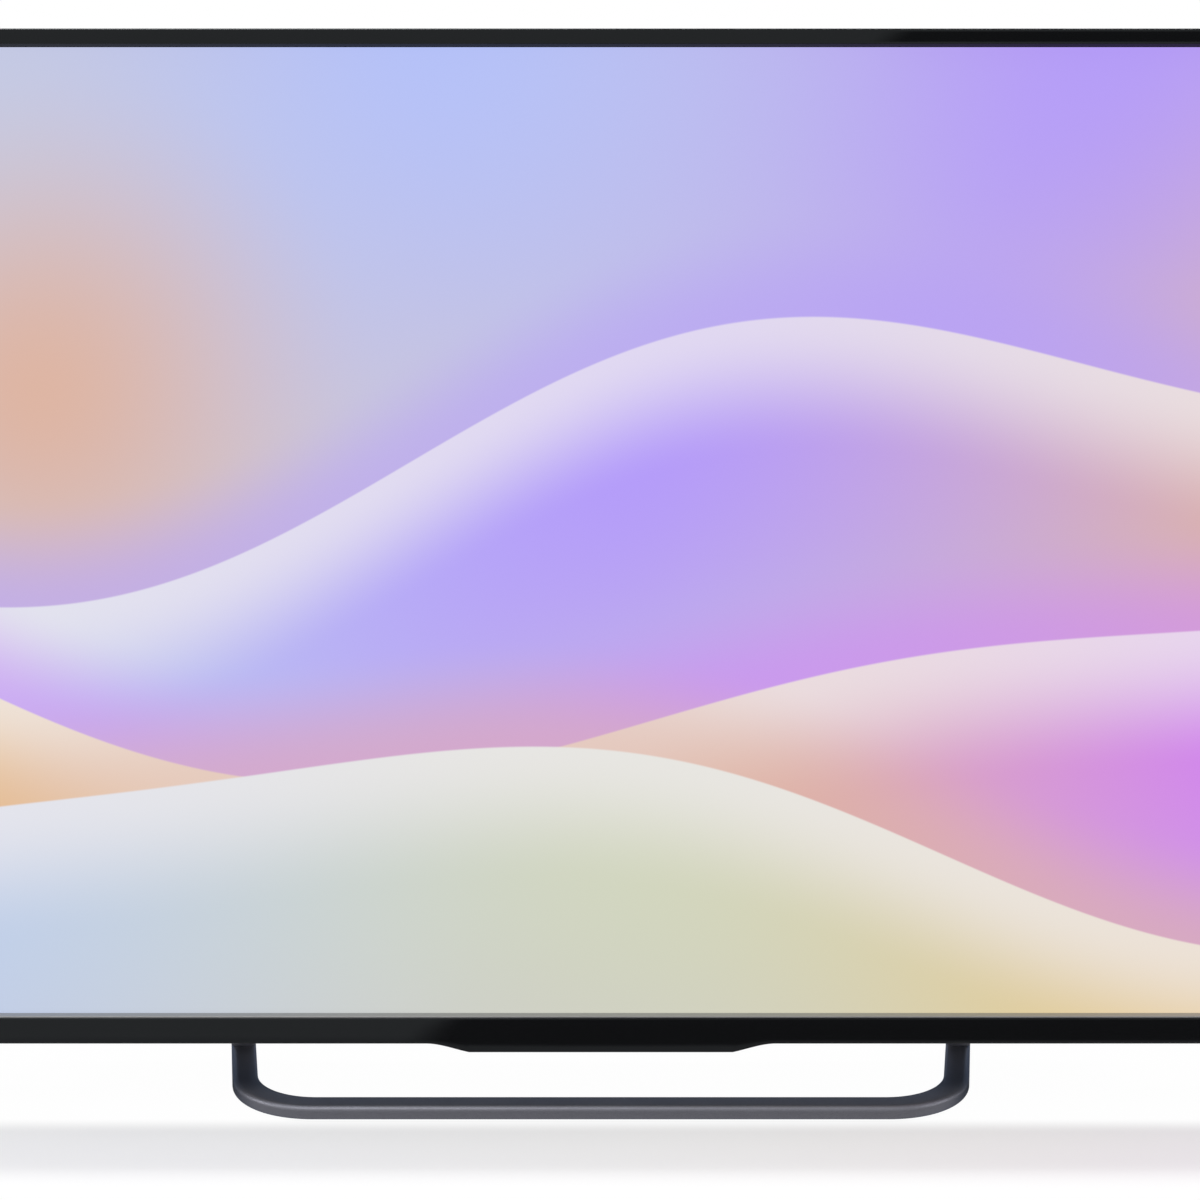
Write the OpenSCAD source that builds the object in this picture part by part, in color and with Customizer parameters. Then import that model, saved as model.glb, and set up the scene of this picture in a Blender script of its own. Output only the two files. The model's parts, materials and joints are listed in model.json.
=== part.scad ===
// Flat screen television on a bent bar stand, as the separate pieces it is assembled from.
// Millimetres, +Z up. The screen faces -Y, and the origin lies on the table under the
// middle of the footprint. Depths are counted from the bezel's front face towards +Y.

/* [Screen] */
// Width of the lit picture
screen_w = 941.2; // [800:0.1:1220]
// Height of the lit picture
screen_h = 529.4; // [460:0.1:690]
// Gap between the lit picture and the bezel's lip
picture_gap = 1; // [0.4:0.1:3]
// Thickness of the display glass
glass_t = 2; // [1.2:0.1:3]
// Thickness of each optical film
film_t = 0.3; // [0.2:0.05:0.6]
// Thickness of the diffuser plate
diffuser_t = 1.5; // [1:0.1:3]
// Clear height between the diffuser plate and the light bars' floor
light_gap = 17.2; // [14:0.1:24]

/* [Bezel] */
// Face width of the bezel at the top and sides
bezel_w = 8.7; // [7.5:0.1:16]
// Face width of the bezel along the bottom
bezel_bottom = 14.9; // [13.5:0.1:24]
// Depth of the bezel from its face to its rear edge
bezel_depth = 14; // [12.8:0.1:18]
// Thickness of the bezel's outer wall
bezel_wall = 2; // [1.5:0.1:2.6]
// Thickness of the bezel's face
face_t = 2; // [1.5:0.1:3]
// Depth of the lip that frames the picture
lip_depth = 6; // [4:0.1:7.5]
// Thickness of the lip that frames the picture
lip_wall = 1.6; // [1.2:0.1:2.4]
// Radius of the bezel's outer corners
bezel_r = 3; // [1.5:0.1:5]
// Drop of the chin below the bottom edge
chin_drop = 4.7; // [3:0.1:9]
// Width of the chin along its flat bottom
chin_w = 144; // [100:1:240]
// Length of the curve at each end of the chin
chin_run = 23.5; // [12:0.5:40]
// Thickness of the grey strip on the bottom lip
trim_t = 0.8; // [0.5:0.1:1.1]

/* [Case] */
// Wall thickness of the rear cover
cover_t = 2.4; // [2:0.1:3]
// Step from the bezel's edge in to the rear cover's edge
cover_step = 0.6; // [0.3:0.1:1.2]
// Space between the metal chassis and the rear cover
cover_gap = 2; // [1.5:0.1:6]
// Width of the sloping border of the rear cover
slope_w = 26; // [20:1:36]
// Width of the electronics hump
hump_w = 600; // [570:1:680]
// Height of the electronics hump, up to its slope
hump_h = 345; // [335:1:380]
// Depth of the electronics hump behind the cover's flat
hump_d = 31.6; // [30:0.1:50]
// Edge radius of the electronics hump
hump_r = 6; // [3.5:0.5:10]
// Width of a vent slot
vent_w = 2.4; // [1.5:0.1:3]
// Distance from one vent slot to the next
vent_pitch = 6.5; // [5:0.1:12]
// Spacing of the wall mount holes
mount_pitch = 200; // [200:1:204]
// Radius of the wall mount's threaded holes
mount_r = 3; // [2:0.1:4]

/* [Stand] */
// Height of the bezel's bottom edge above the table
stand_lift = 35; // [28:0.5:90]
// Distance of each leg from the middle
leg_x = 211; // [195:1:218]
// Width of the stand's flat bar
bar_w = 14; // [10:0.5:16]
// Thickness of the stand's flat bar
bar_t = 7; // [5:0.5:9]
// Edge radius of the stand's flat bar
bar_edge = 2.4; // [1:0.1:2.4]
// Radius of the hoop's corners, to the middle of the bar
corner_r = 47; // [25:1:55]
// Angle by which the hoop's rails flare out towards the back
rail_flare = 13.9; // [8:0.1:18]
// Distance from the bezel's face to the front edge of the stand
front_reach = 17; // [5:1:40]
// Distance from the legs' back to the rear edge of the stand
rear_reach = 84; // [70:1:130]
// Thickness of the rubber foot pads
pad_t = 1; // [0.6:0.1:4]
// Length of leg that lies against its bracket
leg_grip = 48; // [40:1:56]
// Thickness of the leg brackets
bracket_t = 4; // [3:0.5:6]

/* [Light bars] */
// Number of light bars
led_rows = 4; // [3:1:6]
// Number of lenses on a light bar
led_cols = 10; // [6:1:12]
// Radius of a lens
lens_r = 7.5; // [5:0.5:9]
// Height of a lens
lens_h = 5; // [3:0.5:7]

/* [Electronics] */
// Thickness of the circuit boards
pcb_t = 1.6; // [1:0.1:2]
// Height of the circuit boards above the chassis
standoff_h = 8; // [6:0.5:9.5]
// Width of the main board and the power board
board_w = 170; // [160:1:176]
// Height of the main board
main_h = 190; // [185:1:200]
// Height of the power board
power_h = 150; // [140:1:155]
// Height of the boards' lower edge above the tops of the legs
board_lift = 10; // [6:1:14]

/* [Keys] */
// Distance from one key to the next
key_pitch = 12; // [10:0.5:12.5]
// Height of a key's face
key_h = 8; // [5:0.5:9]
// Width of a key's face
key_w = 6; // [4:0.5:9]
// Travel of a key
key_travel = 0.8; // [0.4:0.1:1]

/* [Hidden] */
$fn = 48;

// Running gap between pieces that slide together
fit_gap = 0.25;
// Gap around a socket that reaches through a wall
port_gap = 0.4;
// How far a cutting shape runs past the face that it cuts
past = 1;

// Bezel window and outline
open_w = screen_w + 2 * picture_gap;
open_h = screen_h + 2 * picture_gap;
tv_w = open_w + 2 * bezel_w;
z_b = stand_lift;
z_lo = z_b + bezel_bottom;
z_hi = z_lo + open_h;
z_t = z_hi + bezel_w;

// Depths of the display stack, from the bezel's face
gasket_t = 0.5;
mid_frame_t = 1.4;
mid_wall = 1.2;
chassis_t = 0.8;
glass_border = bezel_w - bezel_wall - mid_wall - 2 * fit_gap;
d_glass = lip_depth + gasket_t;
d_mid = d_glass + glass_t;
d_film = d_mid + mid_frame_t;
d_plate = d_film + 2 * film_t;
d_rim = d_plate + diffuser_t;
d_floor = d_rim + light_gap;
d_chassis = d_floor + chassis_t;
led_pcb_t = 1;
reflector_t = 0.3;
d_led = d_floor - led_pcb_t;
d_reflector = d_led - reflector_t;
rim_w = 1;
pan_slope = 22;
z_flat = z_lo + pan_slope - rim_w;

// Depths of the case
cover_edge = 3;
d_edge = bezel_depth + cover_edge;
d_flat = d_chassis + cover_gap + cover_t;
d_hump = d_flat + hump_d;
d_inside = d_hump - cover_t;
cover_w = tv_w - 2 * cover_step;
z_c0 = z_b + cover_step;
z_c1 = z_t - cover_step;
z_hump = z_b + hump_h;
z_floor = z_c0 + cover_t;
wall_x = hump_w / 2;
inner_x = wall_x - cover_t;

// Stand: a hoop on the table, and legs that stand on its rails against the hump's back
d_leg = d_hump;
d_leg_mid = d_leg + bar_t / 2;
z_bar = pad_t + bar_t / 2;
d_front_edge = -front_reach;
d_front_bar = d_front_edge + bar_w / 2;
d_rear_edge = d_leg + bar_t + rear_reach;
d_rear_bar = d_rear_edge - bar_w / 2;
bracket_z0 = z_flat + 1;
z_leg_top = bracket_z0 + leg_grip;
leg_screw_inset = 10;
leg_screws = [bracket_z0 + leg_screw_inset, z_leg_top - leg_screw_inset];
leg_screw_r = 2;
leg_screw_head = 4;
leg_screw_head_t = 2.6;
leg_screw_slot = 5;
leg_screw_web = 1;
leg_screw_bite = 12;
bracket_w = 40;
bracket_boss_r = 5;
weld_gap = 0.1;
pad_l = 30;
pad_w = 7;
pad_back = 0.9;

// The front face lies where the footprint's middle falls on the origin
front_y = -(d_front_edge + d_rear_edge) / 2;

// Wall mount
mount_post_r = 6;
mount_depth = 20;
mount_lift = 205;
mount_z = z_b + mount_lift;
mount_spots = [for (sx = [-1, 1], sz = [-1, 1]) [sx * mount_pitch / 2, mount_z + sz * mount_pitch / 2]];

// Circuit boards, whose holes stay clear of the wall mount's posts
d_pcb = d_chassis + standoff_h;
d_parts = d_pcb + pcb_t;
board_gap = 1;
main_x0 = -inner_x + board_gap;
main_x1 = main_x0 + board_w;
power_x1 = inner_x - board_gap;
power_x0 = power_x1 - board_w;
board_z = z_leg_top + board_lift;
main_z1 = board_z + main_h;
power_z1 = board_z + power_h;
timing_w = 150;
timing_h = 40;
timing_chip = 16;
timing_lift = 55;
timing_z = board_z + timing_lift;
timing_hole_inset = 25;
hole_inset = 6;
board_screw_r = 1.5;
standoff_r = 3.5;
post_clear = 3;
post_keep_x = mount_pitch / 2 + mount_post_r + post_clear + standoff_r;
main_hole_inset = 52;
power_hole_inset = 28;
main_holes_x = [main_x0 + main_hole_inset, min(main_x1 - hole_inset, -post_keep_x)];
power_holes_x = [max(power_x0 + hole_inset, post_keep_x), power_x1 - power_hole_inset];
board_holes = [
    for (x = main_holes_x, z = [board_z + hole_inset, main_z1 - hole_inset]) [x, z],
    for (x = power_holes_x, z = [board_z + hole_inset, power_z1 - hole_inset]) [x, z],
    for (s = [-1, 1]) [s * (timing_w / 2 - timing_hole_inset), timing_z + timing_h - hole_inset]
];

// Rear cover screws, on the flat of the cover and its top
cover_screw_r = 1.5;
cover_head_r = 3.5;
cover_head_t = 2;
cover_sink = 1.6;
cover_screw_inset = 55;
cover_screw_lift = 60;
cover_screw_x = 150;
cover_screw_spots = [
    for (s = [-1, 1], z = [z_b + cover_screw_lift, (z_b + z_t) / 2, z_t - cover_screw_inset])
        [s * (tv_w / 2 - cover_screw_inset), z],
    for (s = [-1, 1]) [s * cover_screw_x, z_t - cover_screw_inset]
];

// Sockets on the main board: heights of the side row, and places of the rear row
video_w = 15.4;
video_t = 6;
video_l = 12;
video_lift = 28;
video_pitch = 24;
video_z = [for (i = [0:2]) board_z + video_lift + video_pitch * i];
data_w = 14.4;
data_t = 7;
data_l = 16;
data_lift = 98;
data_pitch = 20;
data_z = [for (i = [0:1]) board_z + data_lift + data_pitch * i];
card_w = 60;
card_t = 9;
card_l = 44;
card_wall = 1.7;
card_end = 2.5;
card_back = 2;
card_lift = 158;
card_z = board_z + card_lift;
socket_reach = wall_x - port_gap;
socket_mouth = d_hump - port_gap;
rear_row_lift = 20;
rear_row_z = board_z + rear_row_lift;
antenna_in = 46;
antenna_pitch = 26;
antenna_x = [main_x0 + antenna_in, main_x0 + antenna_in + antenna_pitch];
antenna_r = 4.7;
antenna_proud = 7;
tuner_t = 12;
tuner_w = 58;
tuner_h = 32;
tuner_lift = 8;
network_in = 104;
network_x = main_x0 + network_in;
network_w = 16;
network_h = 14;
network_depth = 13;
plug_hole_w = 11.8;
plug_hole_h = 8.4;
latch_hole_w = 6;
latch_hole_h = 1.4;
optical_in = 126;
optical_x = main_x0 + optical_in;
optical_s = 11;
optical_hole = 7.2;
optical_depth = 9;
jack_in = 142;
jack_pitch = 10;
jack_x = [main_x0 + jack_in, main_x0 + jack_in + jack_pitch];
jack_s = 7.6;
jack_r = 1.8;
jack_depth = 14;

// Mains inlet on the power board
inlet_w = 22;
inlet_t = 15;
inlet_l = 24;
inlet_lift = 35;
inlet_z = board_z + inlet_lift;
inlet_r = 4.1;
inlet_pin_gap = 8.6;
inlet_depth = 14;

// Keypad on the case's side wall
key_count = 7;
key_flange = 1.2;
key_stem = 4;
key_proud = 1.4;
switch_s = 6;
switch_t = 3.5;
key_gap = 0.1;
keypad_t = 1.2;
d_key = d_flat + hump_d / 2;
key_lift = 14;
key_z0 = power_z1 + key_lift;
key_x_in = inner_x - fit_gap - key_flange - key_stem;
plunger_x = key_x_in - key_travel - key_gap;
plunger_t = 1;
keypad_x = plunger_x - plunger_t - switch_t;
function key_z(i) = key_z0 + key_pitch * i;

// Speakers, standing on the case's floor
speaker_w = 110;
speaker_h = 36;
speaker_t = 22;
speaker_x = 66;
speaker_wall = 2;
speaker_ear = 8;
ear_t = 3;
grommet_h = 3;
grommet_r = 4;
cone_r = 9;
cone_n = 2;
speaker_back = 1.6;
d_speaker = d_inside - speaker_t - speaker_back;
z_speaker = z_floor + grommet_h;

// Light bars
led_row_gap = open_h / led_rows;
led_margin = 30;
led_col_gap = (open_w - 2 * led_margin) / led_cols;
led_pcb_w = 14;
function led_z(i) = z_lo + led_row_gap * (i + 0.5);
function led_x(j) = led_col_gap * (j - (led_cols - 1) / 2);

// Turns a depth from the bezel's face into a Y place
function yd(d) = front_y + d;

// A drawing in X and Z, pushed back from depth d0 to depth d1
module slab(d0, d1) {
    translate([0, yd(d1), 0]) rotate([90, 0, 0]) linear_extrude(d1 - d0) children();
}

module block(x0, x1, d0, d1, z0, z1) {
    translate([x0, yd(d0), z0]) cube([x1 - x0, d1 - d0, z1 - z0]);
}

module rod_y(x, z, d0, d1, r) {
    translate([x, yd(d1), z]) rotate([90, 0, 0]) cylinder(h = d1 - d0, r = r);
}

module rod_x(x0, x1, d, z, r) {
    translate([x0, yd(d), z]) rotate([0, 90, 0]) cylinder(h = x1 - x0, r = r);
}

module rod_z(x, d, z0, z1, r) {
    translate([x, yd(d), z0]) cylinder(h = z1 - z0, r = r);
}

module both_sides() {
    children();
    mirror([1, 0, 0]) children();
}

// The bezel's window, grown by o on every side
module window(o) {
    translate([-open_w / 2 - o, z_lo - o]) square([open_w + 2 * o, open_h + 2 * o]);
}

// A flat ring around the window, between two growths
module window_ring(o_in, o_out) {
    difference() {
        window(o_out);
        window(o_in);
    }
}

module rounded_rect(x0, z0, x1, z1, r) {
    translate([x0 + r, z0]) square([x1 - x0 - 2 * r, z1 - z0]);
    translate([x0, z0 + r]) square([x1 - x0, z1 - z0 - 2 * r]);
    for (x = [x0 + r, x1 - r], z = [z0 + r, z1 - r]) translate([x, z]) circle(r);
}

// The chin's end curve: a long ease out of the bottom edge and a short one into the flat
chin_steps = 10;
function chin_x(t) = chin_w / 2 + chin_run * (1 - t);
function chin_z(t) = z_b - chin_drop * t * t * (2 - t);
chin_side = [for (i = [0:chin_steps]) let (t = i / chin_steps) [chin_x(t), chin_z(t)]];
chin_outline = concat(
    [[chin_x(0), z_b + bezel_wall]],
    chin_side,
    [for (i = [chin_steps:-1:0]) [-chin_side[i][0], chin_side[i][1]]],
    [[-chin_x(0), z_b + bezel_wall]]
);

ir_w = 22;
ir_d0 = 5;
ir_d1 = 11;
ir_post_r = 1.8;
ir_post_x = 16;
ir_board_w = 40;
z_ir_floor = z_b + bezel_wall;
ir_lift = 2.6;

module front_bezel() {
    color([0.03, 0.03, 0.035]) {
        difference() {
            slab(0, bezel_depth) {
                rounded_rect(-tv_w / 2, z_b, tv_w / 2, z_t, bezel_r);
                polygon(chin_outline);
            }
            slab(-past, lip_depth + past) window(0);
            slab(lip_depth, bezel_depth + past) bezel_inside();
            slab(face_t, lip_depth + past) difference() {
                bezel_inside();
                window(lip_wall);
            }
            trim_seat();
            ir_light_path();
        }
        for (s = [-1, 1])
            rod_z(s * ir_post_x, (ir_d0 + ir_d1) / 2, z_ir_floor, z_ir_floor + ir_lift, ir_post_r);
    }
}

module bezel_inside() {
    translate([-tv_w / 2 + bezel_wall, z_b + bezel_wall])
        square([tv_w - 2 * bezel_wall, z_t - z_b - 2 * bezel_wall]);
}

// The strip lies let into the bottom lip, level with the window's lower edge, and its front shows
module trim_seat() {
    block(-open_w / 2, open_w / 2, -past, lip_depth, z_lo - trim_t, z_lo);
}

module trim_solid() {
    block(-open_w / 2, open_w / 2, trim_t, lip_depth, z_lo - trim_t, z_lo);
}

module lower_trim_strip() {
    color([0.5, 0.5, 0.49]) trim_solid();
}

module ir_light_path() {
    block(-ir_w / 2, ir_w / 2, ir_d0, ir_d1, z_b - chin_drop - past, z_ir_floor + past);
}

// A smoked light guide through the chin, under the remote control receiver
module ir_window() {
    color([0.12, 0.02, 0.03])
        block(-ir_w / 2 + fit_gap, ir_w / 2 - fit_gap, ir_d0 + fit_gap, ir_d1 - fit_gap,
            z_b - chin_drop, z_ir_floor);
}

module ir_board() {
    d_mid_ir = (ir_d0 + ir_d1) / 2;
    z_pcb = z_ir_floor + ir_lift;
    color([0.05, 0.3, 0.15]) {
        block(-ir_board_w / 2, ir_board_w / 2, ir_d0 - 1, ir_d1 + 1, z_pcb, z_pcb + 1);
        block(-6, -1, d_mid_ir - 2, d_mid_ir + 2, z_pcb - ir_lift + fit_gap, z_pcb);
        rod_z(4, d_mid_ir, z_pcb - ir_lift + fit_gap, z_pcb, 1.5);
    }
}

module lip_gasket() {
    color([0.12, 0.12, 0.12]) slab(lip_depth, d_glass) window_ring(0.2, lip_wall);
}

module display_panel() {
    color([0.7, 0.72, 0.86]) slab(d_glass, d_mid) window(glass_border);
}

// A moulded frame that carries the glass in front and holds the light sheets behind
module panel_mid_frame() {
    o_in = glass_border + fit_gap;
    color([0.1, 0.1, 0.1]) {
        slab(d_glass + fit_gap, d_rim) window_ring(o_in, o_in + mid_wall);
        slab(d_mid, d_film) window_ring(rim_w, o_in);
    }
}

module prism_film() {
    color([0.85, 0.87, 0.9]) slab(d_film, d_film + film_t) window(glass_border);
}

module diffuser_film() {
    color([0.9, 0.9, 0.92]) slab(d_film + film_t, d_plate) window(glass_border);
}

module diffuser_plate() {
    color([0.94, 0.94, 0.95]) slab(d_plate, d_rim) window(glass_border);
}

// Cone pegs that keep the diffuser plate from sagging on to the lenses
module diffuser_pegs() {
    peg_h = d_reflector - d_rim - fit_gap;
    color([0.95, 0.95, 0.95])
        for (x = [-1, 0, 1], i = [0:led_rows - 2])
            translate([x * open_w / 4 + led_col_gap / 4, yd(d_reflector), led_z(i) + led_row_gap / 2])
                rotate([90, 0, 0]) cylinder(h = peg_h, r1 = 5, r2 = 1.5);
}

module reflector_sheet() {
    color([0.96, 0.96, 0.96])
        slab(d_reflector, d_led) difference() {
            window(-pan_slope - rim_w);
            for (i = [0:led_rows - 1], j = [0:led_cols - 1])
                translate([led_x(j), led_z(i)]) circle(lens_r + 2 * fit_gap);
        }
}

module light_bars() {
    color([0.85, 0.87, 0.85])
        for (i = [0:led_rows - 1])
            block(led_x(0) - led_pcb_w, led_x(led_cols - 1) + led_pcb_w, d_led, d_floor,
                led_z(i) - led_pcb_w / 2, led_z(i) + led_pcb_w / 2);
}

// A low dome over each light, cut from a ball that just clears its rim
module light_bar_lenses() {
    skirt_h = lens_h / 3;
    cap_h = lens_h - skirt_h;
    ball_r = (lens_r * lens_r + cap_h * cap_h) / (2 * cap_h);
    color([0.9, 0.93, 0.96])
        for (i = [0:led_rows - 1], j = [0:led_cols - 1])
            translate([led_x(j), yd(d_led), led_z(i)]) rotate([90, 0, 0])
                rotate_extrude() intersection() {
                    square([lens_r, lens_h]);
                    translate([0, lens_h - ball_r]) circle(ball_r);
                }
}

// A block whose sides slope from one rectangle to another: its plan crossed with its side view
module sloped_block(hw0, lo0, hi0, d0, hw1, lo1, hi1, d1) {
    intersection() {
        translate([0, 0, min(lo0, lo1)]) linear_extrude(max(hi0, hi1) - min(lo0, lo1))
            polygon([[-hw0, yd(d0)], [hw0, yd(d0)], [hw1, yd(d1)], [-hw1, yd(d1)]]);
        translate([-max(hw0, hw1), 0, 0]) rotate([90, 0, 90]) linear_extrude(2 * max(hw0, hw1))
            polygon([[yd(d0), lo0], [yd(d1), lo1], [yd(d1), hi1], [yd(d0), hi0]]);
    }
}

// The same, from the window grown by o0 at depth d0 to the window grown by o1 at depth d1
module pan_block(o0, d0, o1, d1) {
    sloped_block(open_w / 2 + o0, z_lo - o0, z_hi + o0, d0, open_w / 2 + o1, z_lo - o1, z_hi + o1, d1);
}

module metal_chassis() {
    color([0.62, 0.64, 0.66])
        difference() {
            union() {
                slab(d_rim, d_rim + chassis_t) window(glass_border + fit_gap + mid_wall);
                pan_block(rim_w + chassis_t, d_rim, rim_w + chassis_t - pan_slope, d_chassis);
            }
            pan_block(rim_w, d_rim, rim_w - pan_slope, d_floor);
            slab(d_rim - past, d_rim) window(rim_w);
            for (p = cover_screw_spots)
                rod_y(p[0], p[1], d_floor - past, d_chassis + past, cover_screw_r + 0.1);
        }
}

// Two narrow boards that drive the glass, stuck to the chassis along the bottom
driver_lift = 5;
driver_x0 = 12;
driver_h = 16;
driver_t = 1;
driver_end = 3;
driver_chip_n = 4;
driver_chip_x = 30;
driver_chip_pitch = 36;
driver_chip_w = 18;
driver_chip_h = 6;

module panel_driver_boards() {
    z0 = z_flat + driver_lift;
    x1 = leg_x - bracket_w / 2 - driver_end;
    d1 = d_chassis + driver_t;
    chip_z0 = z0 + (driver_h - driver_chip_h) / 2;
    color([0.06, 0.28, 0.16])
        both_sides() {
            block(driver_x0, x1, d_chassis, d1, z0, z0 + driver_h);
            for (i = [0:driver_chip_n - 1])
                translate([driver_chip_x + driver_chip_pitch * i, 0, 0])
                    block(0, driver_chip_w, d1, d1 + driver_t, chip_z0, chip_z0 + driver_chip_h);
        }
}

module board_standoffs() {
    color([0.75, 0.76, 0.78])
        for (p = board_holes)
            difference() {
                rod_y(p[0], p[1], d_chassis, d_pcb, standoff_r);
                rod_y(p[0], p[1], d_chassis + 1.5, d_pcb + past, board_screw_r + 0.1);
            }
}

module board_screws() {
    color([0.78, 0.78, 0.8])
        for (p = board_holes) {
            difference() {
                rod_y(p[0], p[1], d_parts, d_parts + 2, 2.75);
                cross_slot(p[0], p[1], d_parts + 1, d_parts + 2 + past, 3);
            }
            rod_y(p[0], p[1], d_chassis + 2, d_parts, board_screw_r);
        }
}

// The cross that a screwdriver turns
module cross_slot(x, z, d0, d1, l) {
    w = l / 4;
    block(x - l / 2, x + l / 2, d0, d1, z - w / 2, z + w / 2);
    block(x - w / 2, x + w / 2, d0, d1, z - l / 2, z + l / 2);
}

// Screw holes, and a notch wherever a board comes near a wall mount post
module board_drill() {
    for (p = board_holes) rod_y(p[0], p[1], d_pcb - past, d_parts + past, board_screw_r + 0.2);
    for (p = mount_spots) rod_y(p[0], p[1], d_pcb - past, d_parts + past, mount_post_r + post_clear);
}

module main_board() {
    color([0.04, 0.26, 0.13])
        difference() {
            block(main_x0, main_x1, d_pcb, d_parts, board_z, main_z1);
            board_drill();
        }
}

chip_in = 96;
chip_x = main_x0 + chip_in;
chip_z = board_z + chip_in;
chip_s = 24;
chip_t = 2;
sink_s = 40;
sink_base = 3;
sink_fin_t = 2;
sink_fin_h = 11;
ribbon_z = timing_z + timing_h / 2;
ribbon_w = 24;
plug_w = 12;
plug_h = 28;
plug_in = 2;
plug_t = 1.4;
memory_x = 24;
memory_z = -12;
memory_s = 10;
memory_t = 1.2;
memory_pitch = 16;
coil_x = -30;
coil_z = 60;
coil_s = 10;
coil_t = 5;
coil_pitch = 16;
can_x = -44;
can_z = -42;
can_r = 3;
can_t = 9;
can_pitch = 12;

// Processor, memory, converter coils and the ribbon's socket
module main_chips() {
    color([0.07, 0.07, 0.08]) {
        block(chip_x - chip_s / 2, chip_x + chip_s / 2, d_parts, d_parts + chip_t,
            chip_z - chip_s / 2, chip_z + chip_s / 2);
        for (i = [0:1])
            translate([chip_x + memory_x, 0, chip_z + memory_z + memory_pitch * i])
                block(0, memory_s, d_parts, d_parts + memory_t, 0, memory_s);
        for (i = [0:3])
            translate([chip_x + coil_x + coil_pitch * i, 0, chip_z + coil_z])
                block(0, coil_s, d_parts, d_parts + coil_t, 0, coil_s);
        for (i = [0:5])
            rod_y(chip_x + can_x + can_pitch * i, chip_z + can_z, d_parts, d_parts + can_t, can_r);
        block(main_x1 - plug_in - plug_w, main_x1 - plug_in, d_parts, d_parts + plug_t,
            ribbon_z - plug_h / 2, ribbon_z + plug_h / 2);
    }
}

module heat_sink() {
    s = sink_s;
    base_t = sink_base;
    fin_h = sink_fin_h;
    d0 = d_parts + chip_t;
    color([0.66, 0.68, 0.7]) {
        block(chip_x - s / 2, chip_x + s / 2, d0, d0 + base_t, chip_z - s / 2, chip_z + s / 2);
        for (i = [0:7])
            translate([chip_x - s / 2 + i * (s - sink_fin_t) / 7, 0, 0])
                block(0, sink_fin_t, d0 + base_t, d0 + base_t + fin_h, chip_z - s / 2, chip_z + s / 2);
    }
}

module timing_board() {
    color([0.05, 0.2, 0.3]) {
        difference() {
            block(-timing_w / 2, timing_w / 2, d_pcb, d_parts, timing_z, timing_z + timing_h);
            board_drill();
        }
        block(-timing_w / 2 + 2 * plug_in, -timing_w / 2 + 2 * plug_in + plug_w, d_parts, d_parts + plug_t,
            ribbon_z - plug_h / 2, ribbon_z + plug_h / 2);
        block(-timing_chip / 2, timing_chip / 2, d_parts, d_parts + plug_t,
            timing_z + timing_chip / 2, timing_z + 1.5 * timing_chip);
    }
}

// The flat cable lies across the two sockets
module panel_ribbon_cable() {
    color([0.9, 0.9, 0.88])
        block(main_x1 - plug_w, -timing_w / 2 + plug_w, d_parts + plug_t, d_parts + plug_t + 0.3,
            ribbon_z - ribbon_w / 2, ribbon_z + ribbon_w / 2);
}

radio_drop = 20;
radio_w = 36;
radio_h = 26;
radio_t = 1;
radio_can_w = 24;
radio_can_h = 16;
radio_can_t = 2;

module wireless_module() {
    z0 = board_z - radio_drop;
    d1 = d_chassis + radio_t;
    color([0.55, 0.56, 0.58]) {
        block(-radio_w / 2, radio_w / 2, d_chassis, d1, z0, z0 + radio_h);
        block(-radio_can_w / 2, radio_can_w / 2, d1, d1 + radio_can_t, z0 + radio_can_t,
            z0 + radio_can_t + radio_can_h);
    }
}

module power_board() {
    color([0.55, 0.42, 0.2])
        difference() {
            block(power_x0, power_x1, d_pcb, d_parts, board_z, power_z1);
            board_drill();
        }
}

transformer_in = 55;
transformer_lift = 75;
transformer_x = power_x0 + transformer_in;
transformer_z = board_z + transformer_lift;
core_w = 36;
core_h = 32;
core_t = 18;
coil_w = 28;
coil_end = 5;
coil_depth = 14;
capacitor_r = 9;
capacitor_t = 20;
capacitor_pitch = 26;
capacitor_in = 50;
capacitor_drop = 14;
capacitor_x = transformer_x + capacitor_in;
capacitor_z = transformer_z - capacitor_drop;
choke_lift = 2;
choke_r = 11;
choke_bore = 4;
choke_t = 12;

module power_transformer() {
    color([0.75, 0.68, 0.2]) {
        block(transformer_x - core_w / 2, transformer_x + core_w / 2, d_parts, d_parts + core_t,
            transformer_z - core_h / 2, transformer_z + core_h / 2);
        for (z = [-core_h / 2 - coil_end, core_h / 2])
            translate([transformer_x, 0, transformer_z + z])
                block(-coil_w / 2, coil_w / 2, d_parts, d_parts + coil_depth, 0, coil_end);
    }
}

module bulk_capacitors() {
    color([0.1, 0.1, 0.14])
        for (i = [0:1])
            rod_y(capacitor_x, capacitor_z + capacitor_pitch * i, d_parts, d_parts + capacitor_t, capacitor_r);
}

module mains_choke() {
    color([0.5, 0.3, 0.12])
        translate([capacitor_x, yd(d_parts), inlet_z + choke_lift]) rotate([-90, 0, 0])
            difference() {
                cylinder(h = choke_t, r = choke_r);
                translate([0, 0, -past]) cylinder(h = choke_t + 2 * past, r = choke_bore);
            }
}

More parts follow.
